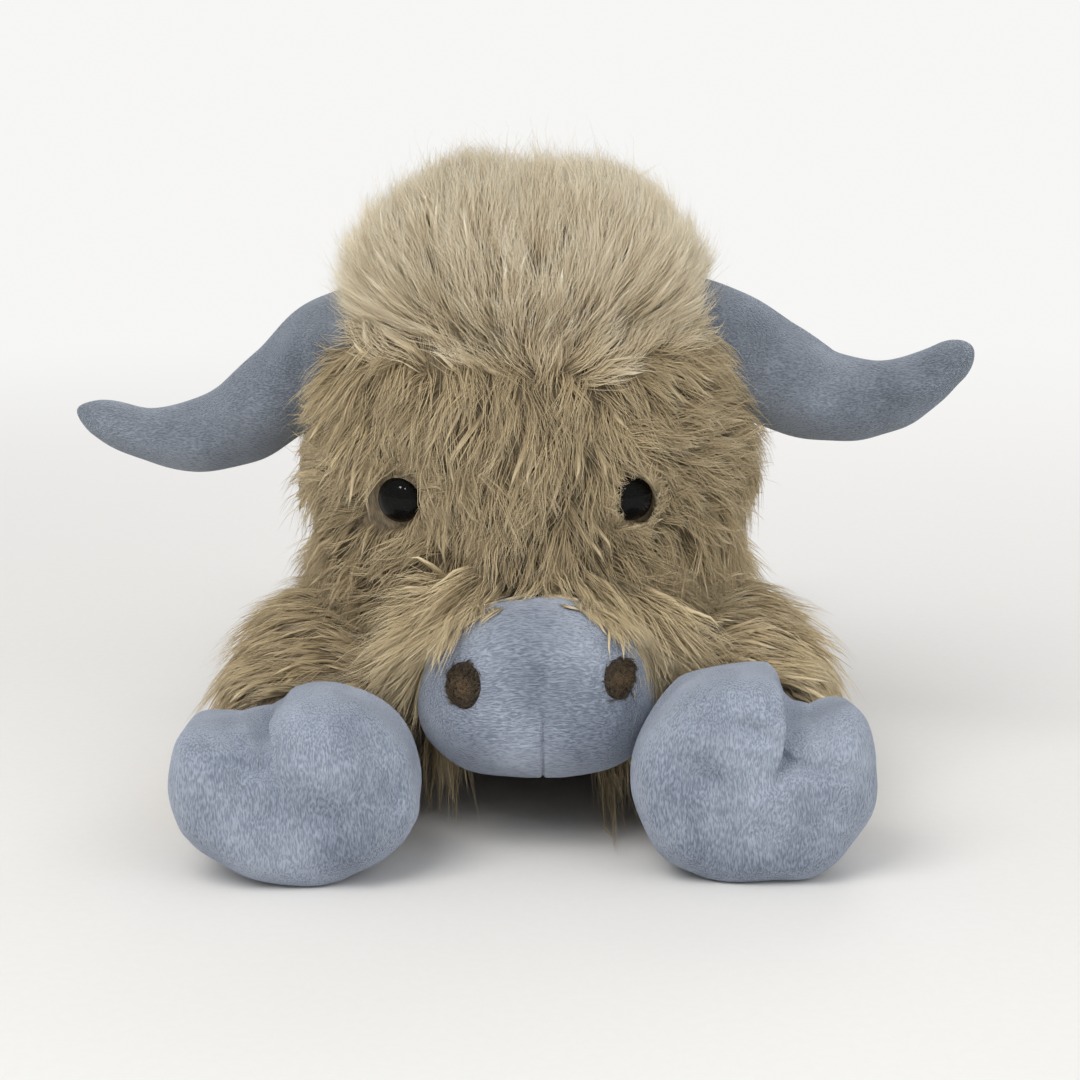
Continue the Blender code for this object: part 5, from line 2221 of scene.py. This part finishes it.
@dataclass(frozen=True)
class Tail:
    """The tail's cloth strap, which falls from the rump to its tuft on the floor."""

    width: float = 0.0085
    root_y: float = 0.112
    root_z: float = 0.066
    reach: float = 0.048
    coat: Coat = Coat(
        locks=190, in_lock=4, length=0.011, width=0.0006, lock_radius=0.0012, lock_width=0.0024
    )

    FALL = ((0.00, 1.00), (0.34, 0.72), (0.62, 0.34), (1.00, 0.15))

    def dress(self) -> None:
        """Makes the strap, through the places of FALL, and its fur, which is combed down it."""
        place, height = np.array(self.FALL).T
        half = np.full_like(place, self.width / 2)
        centres = [0 * place, self.root_y + place * self.reach, height * self.root_z]
        rings = np.stack([place, *centres, half, half], -1)
        way = unit(rings[-1, 1:4] - rings[0, 1:4])
        skin = Loft(rings, ACROSS, end_power=0.2).skin(60, 32)
        skin.shape().dress("tail_strap", TAN_BACKING, "tail_end", ("tail",))

        def comb(points: Array) -> Array:
            """Down the tail, towards its tuft."""
            return np.broadcast_to(way, points.shape)

        pelt = self.coat.grown_on(skin, comb, Seed.TAIL).off_the_floor(0.001)
        pelt.dress("tail_fur", "tail_end", TAN_FUR, axis=1)


@dataclass
class Cow:
    """Every sub-assembly of the cow."""

    head: Head
    topknot: Topknot
    muzzle: Muzzle
    nostrils: tuple
    eyes: dict
    horns: dict
    legs: tuple
    body: Body
    flaps: tuple
    tail: Tail

    def laid(self, pelt: Pelt, deepest: float = 0.8) -> Pelt:
        """Fur of the head, laid over the muzzle and the hooves, and off the eyes and the floor.

        Args:
            pelt: the fur as it grew.
            deepest: the depth share in the muzzle below which a strand is dropped.

        Returns:
            The fur as it lies.
        """
        pelt = pelt.clear_of(self.muzzle.form(), 0.0006, deepest)
        for eye in self.eyes.values():
            pelt = pelt.clear_of_eye(eye)
        for leg in self.legs:
            if leg.end is End.FRONT:
                pelt = pelt.clear_of(leg.hoof.form(), 0.0006)
        return pelt.off_the_floor(0.001)

    def off_the_horns(self, pelt: Pelt) -> Pelt:
        """Fur of the topknot, laid round the roots of the horns.

        Args:
            pelt: the fur as it grew.

        Returns:
            The fur as it lies.
        """
        for horn in self.horns.values():
            pelt = pelt.clear_of(horn.root_ball(), 0.0005)
        return pelt

    def dress(self) -> None:
        """Builds the pieces in order."""
        self.head.dress(self)
        self.topknot.dress(self)
        self.muzzle.dress()
        for nostril in self.nostrils:
            nostril.dress(self.muzzle)
        for part in (*self.eyes.values(), *self.horns.values()):
            part.dress()
        for leg in self.legs:
            leg.dress(self)
        self.body.dress(self)
        for part in (*self.flaps, self.tail):
            part.dress()


LEFT_HORN_SHARES = (
    (0.00, 0.00, 1.04), (0.19, 0.16, 0.97), (0.37, 0.56, 0.77), (0.52, 0.98, 0.66),
    (0.68, 1.02, 0.58), (0.81, 0.80, 0.46), (0.92, 0.38, 0.33), (1.00, 0.02, 0.24),
)
RIGHT_HORN_SHARES = (
    (0.00, 0.00, 1.04), (0.20, 0.16, 0.95), (0.35, 0.48, 0.73), (0.49, 0.83, 0.64),
    (0.63, 1.00, 0.54), (0.78, 0.98, 0.41), (0.92, 0.80, 0.29), (1.00, 0.68, 0.21),
)
FRONT_LEG_SHARES = (
    (0.00, 0.80, 0.84), (0.25, 1.00, 0.98), (0.56, 1.05, 0.98), (0.86, 0.92, 0.86), (1.00, 0.80, 0.74),
)
HIND_LEG_SHARES = ((0.00, 0.80, 0.84), (0.25, 1.00, 1.00), (0.72, 0.95, 0.90), (1.00, 0.80, 0.76))
EAR_TUCKS = {Side.LEFT: 0.0045, Side.RIGHT: 0.0055}
EAR_SHARES = ((0.00, 0.80, 0.80), (0.28, 1.05, 1.00), (0.62, 0.95, 0.95), (1.00, 0.60, 0.60))
TUFT_SHARES = ((0.00, 0.60, 0.60), (0.35, 1.00, 1.00), (0.75, 0.95, 0.95), (1.00, 0.60, 0.60))
FRONT_LEG_COAT = Coat(locks=620, in_lock=8, length=0.0200, width=0.00042, lock_width=0.0028, lift=0.22)
HIND_LEG_COAT = Coat(locks=440, in_lock=5, length=0.020, width=0.00058, lock_width=0.0034, lift=0.24)
EAR_COAT = Coat(
    locks=140, in_lock=4, length=0.010, width=0.0006, lock_radius=0.0014, lock_width=0.0026, lift=0.15
)
TUFT_COAT = replace(EAR_COAT, length=0.015, lock_radius=0.0015, lift=0.20)
LEFT_CREASES = (
    Crease(
        ((0.19, 1.04, 0.5), (0.225, 0.90, 0.65), (0.24, 0.78, 0.95), (0.205, 0.67, 1.0), (0.13, 0.57, 0.2)),
        depth=0.0068,
        reach=0.0085,
        sharp=-1,
    ),
    Crease(((0.30, 0.64, 0.5), (0.52, 0.60, 1.0), (0.74, 0.57, 1.0), (0.92, 0.545, 0.4)), 0.0024, 0.0046),
    Crease(((-0.14, 0.83, 0.5), (-0.02, 0.79, 1.0), (0.11, 0.74, 0.5)), 0.0026, 0.0034),
    Crease(((-0.02, 0.67, 0.8), (0.10, 0.60, 1.0)), 0.0020, 0.0080),
    Crease(((-0.70, 0.64, 0.8), (-0.50, 0.57, 1.0)), 0.0022, 0.0060),
    Crease(((-0.36, 0.52, 0.8), (-0.24, 0.36, 1.0), (-0.18, 0.22, 0.6)), 0.0020, 0.0085),
    Crease(((-0.66, 0.38, 1.0), (-0.50, 0.34, 0.8)), 0.0016, 0.0055),
    Crease(((0.04, 0.29, 1.0), (0.24, 0.23, 0.8)), 0.0018, 0.0060),
    Crease(((0.50, 0.46, 0.8), (0.68, 0.36, 1.0), (0.80, 0.26, 0.7)), 0.0022, 0.0085),
    Crease(((0.60, 0.27, 0.8), (0.74, 0.22, 1.0)), 0.0014, 0.0024),
)
RIGHT_CREASES = (
    Crease(
        ((-0.21, 1.05, 1.0), (-0.19, 0.88, 1.0), (-0.13, 0.71, 0.85), (-0.06, 0.585, 0.2)),
        depth=0.0078,
        reach=0.0072,
        sharp=1,
    ),
    Crease(((-0.52, 0.84, 0.6), (-0.40, 0.79, 1.0), (-0.34, 0.73, 0.6)), 0.0020, 0.0022),
    Crease(((-0.50, 0.71, 0.6), (-0.36, 0.70, 1.0), (-0.26, 0.66, 0.6)), 0.0018, 0.0024),
    Crease(((-0.42, 0.60, 1.0), (-0.30, 0.48, 0.8)), 0.0022, 0.0070),
    Crease(((0.00, 0.52, 0.8), (0.18, 0.40, 1.0)), 0.0014, 0.0080),
    Crease(((0.58, 0.86, 0.3), (0.76, 0.74, 1.0), (0.86, 0.56, 1.0), (0.88, 0.34, 0.5)), 0.0026, 0.0046),
)


def front_hooves() -> dict:
    """The two front hooves, which are folded and dented in their own ways."""
    left = Hoof(
        width=0.0740,
        height=0.0650,
        length=0.056,
        x=0.0700,
        sole_y=-0.1825,
        facing=-1,
        drop=(
            (-1.0, 0.06), (-0.82, 0.03), (-0.60, -0.015), (-0.40, -0.012), (0.12, 0.0), (0.20, 0.03),
            (0.27, 0.13), (0.36, 0.17), (0.50, 0.17), (0.62, 0.10), (0.80, -0.01), (0.93, -0.06),
            (1.0, -0.06),
        ),
        creases=LEFT_CREASES,
        seed=51,
    )
    right = Hoof(
        width=0.0755,
        height=0.0602,
        length=0.056,
        x=-0.0705,
        sole_y=-0.1860,
        facing=-1,
        drop=(
            (-1.0, -0.08), (-0.88, -0.05), (-0.66, 0.05), (-0.48, 0.110), (-0.22, 0.120), (-0.12, 0.085),
            (-0.04, 0.025), (0.10, 0.0), (0.30, -0.010), (0.55, -0.015), (0.75, -0.010), (1.0, 0.0),
        ),
        rise=(
            (-1.0, 0.02), (-0.86, 0.07), (-0.62, 0.055), (-0.39, 0.025), (-0.10, 0.0), (0.20, 0.0),
            (0.52, 0.020), (0.84, 0.03), (1.0, 0.02),
        ),
        creases=RIGHT_CREASES,
        seed=52,
    )
    return {Side.LEFT: left, Side.RIGHT: right}


def legs_of(side: Side, front_hoof: Hoof) -> tuple:
    """The legs of one side.

    Args:
        side: which side.
        front_hoof: the hoof of its front leg.

    Returns:
        The front and the hind leg.
    """
    hand = side.hand
    root = hand * 0.057, 0.016
    front = Leg(side, End.FRONT, front_hoof, root, 0.078, 0.071, FRONT_LEG_SHARES, FRONT_LEG_COAT)
    hoof = Hoof(
        width=0.064,
        height=0.060,
        length=0.048,
        x=hand * 0.062,
        sole_y=0.1810,
        facing=1,
        seed=53 + int(hand),
        fine=110,
    )
    root = hand * 0.050, 0.068
    return front, Leg(side, End.HIND, hoof, root, 0.070, 0.062, HIND_LEG_SHARES, HIND_LEG_COAT)


def ear(side: Side) -> Flap:
    """The ear of one side, which its tuck draws in towards the head.

    Args:
        side: which side.

    Returns:
        The ear.
    """
    front_x, back_x = (side.hand * (x - EAR_TUCKS[side]) for x in (0.0785, 0.0865))
    return Flap(
        name=f"ear_{side.word}",
        body=f"{side.word}_ear",
        start=(front_x, -0.046, 0.110),
        end=(back_x, -0.008, 0.0945),
        halves=(0.0105, 0.0022),
        across=UP,
        shares=EAR_SHARES,
        coat=EAR_COAT,
        seed=Seed.EARS + int(side.hand),
    )


def built_cow() -> Cow:
    """Gathers the sub-assemblies at the places that the solids hold."""
    hooves = front_hooves()
    tuft = Flap(
        name="tail_tuft",
        body="tail_end",
        start=(0, 0.145, 0.0085),
        end=(0, 0.174, 0.0085),
        halves=(0.0075, 0.0075),
        across=ACROSS,
        shares=TUFT_SHARES,
        coat=TUFT_COAT,
        seed=Seed.TUFT,
    )
    return Cow(
        head=Head(),
        topknot=Topknot(),
        muzzle=Muzzle(),
        nostrils=(
            Nostril(Side.LEFT, 0.0290, 0.0588, 0.10, width=0.0100, height=0.0122),
            Nostril(Side.RIGHT, -0.0194, 0.0572, -0.22),
        ),
        eyes={
            Side.LEFT: Eye.of_solid(Side.LEFT, 0.0072, 0.0048, (0.66, 0.92)),
            Side.RIGHT: Eye.of_solid(Side.RIGHT, 0.0075, 0.0048, (1.0, 1.0)),
        },
        horns={
            Side.LEFT: Horn(Side.LEFT, 0.044, 0.150, 0.0235, 0.1068, 0.0177, LEFT_HORN_SHARES),
            Side.RIGHT: Horn(Side.RIGHT, -0.044, 0.149, 0.0225, 0.1093, 0.0302, RIGHT_HORN_SHARES),
        },
        legs=tuple(leg for side in Side for leg in legs_of(side, hooves[side])),
        body=Body(),
        flaps=(*(ear(side) for side in Side), tuft),
        tail=Tail(),
    )


@dataclass(frozen=True)
class Lamp:
    """A soft square lamp that is aimed at the cow."""

    name: str
    place: tuple
    size: float
    watts: float
    colour: tuple = (1.0, 1.0, 1.0)
    glints: bool = False  # seen in glossy pieces only

    def build(self, target: tuple) -> None:
        """Adds the lamp.

        Args:
            target: the place that it is turned towards.
        """
        data = bpy.data.lights.new(self.name, "AREA")
        data.shape = "SQUARE"
        data.size = self.size
        data.energy = self.watts
        data.color = self.colour
        lamp = bpy.data.objects.new(self.name, data)
        away = np.array(self.place) - np.array(target)
        flat = math.hypot(away[0], away[1])
        lamp.visible_glossy = self.glints
        lamp.visible_diffuse = not self.glints
        lamp.location = self.place
        lamp.rotation_euler = (math.atan2(flat, away[2]), 0, math.atan2(away[0], -away[1]))
        bpy.context.scene.collection.objects.link(lamp)


@dataclass(frozen=True)
class Studio:
    """A pale floor, a soft world and a few soft lamps."""

    floor_size: float = 60.0
    glow: float = 0.56
    floor: StageFinish = StageFinish("pale floor")
    lamps: tuple = (
        Lamp("key", (-0.52, -0.80, 1.05), 0.8, 9.8, (1.0, 0.985, 0.96)),
        Lamp("fill", (0.80, -0.95, 0.60), 1.0, 4.6, (0.97, 0.985, 1.0)),
        Lamp("rim", (0.30, 0.95, 0.85), 0.7, 4.0),
        Lamp("first glint", (-0.50, -0.90, 0.95), 0.15, 3.0, glints=True),
        Lamp("second glint", (-0.08, -1.05, 0.95), 0.10, 1.4, glints=True),
    )

    def build(self) -> None:
        """Adds the floor, the world and the lamps."""
        half = self.floor_size / 2
        mesh = bpy.data.meshes.new("floor")
        corners = [(-half, -half, 0), (half, -half, 0), (half, half, 0), (-half, half, 0)]
        mesh.from_pydata(corners, [], [(0, 1, 2, 3)])
        mesh.materials.append(WARDROBE.material(self.floor))
        floor = bpy.data.objects.new("floor", mesh)
        bpy.context.scene.collection.objects.link(floor)
        for lamp in self.lamps:
            lamp.build(VIEW.target)
        self._world()

    def _world(self) -> None:
        """A dim even world that the camera sees as white, also through glass."""
        world = bpy.data.worlds.new("studio")
        bpy.context.scene.world = world
        world.use_nodes = True
        nodes, links = world.node_tree.nodes, world.node_tree.links
        nodes.clear()
        path = nodes.new("ShaderNodeLightPath")
        seen = nodes.new("ShaderNodeMath")
        seen.operation = "MAXIMUM"
        links.new(path.outputs["Is Camera Ray"], seen.inputs[0])
        links.new(path.outputs["Is Transmission Ray"], seen.inputs[1])
        dim, white = nodes.new("ShaderNodeBackground"), nodes.new("ShaderNodeBackground")
        dim.inputs["Color"].default_value = (1, 1, 1, 1)
        dim.inputs["Strength"].default_value = self.glow
        white.inputs["Color"].default_value = (*self.floor.white, 1)
        mix = nodes.new("ShaderNodeMixShader")
        links.new(seen.outputs[0], mix.inputs[0])
        links.new(dim.outputs["Background"], mix.inputs[1])
        links.new(white.outputs["Background"], mix.inputs[2])
        output = nodes.new("ShaderNodeOutputWorld")
        links.new(mix.outputs[0], output.inputs["Surface"])


def main() -> None:
    """Builds the studio and the cow."""
    logging.basicConfig(level=logging.INFO, format="%(name)s: %(message)s")
    VIEW.build()
    Studio().build()
    bpy.context.scene.view_settings.view_transform = "Standard"
    built_cow().dress()


if __name__ == "__main__":
    main()
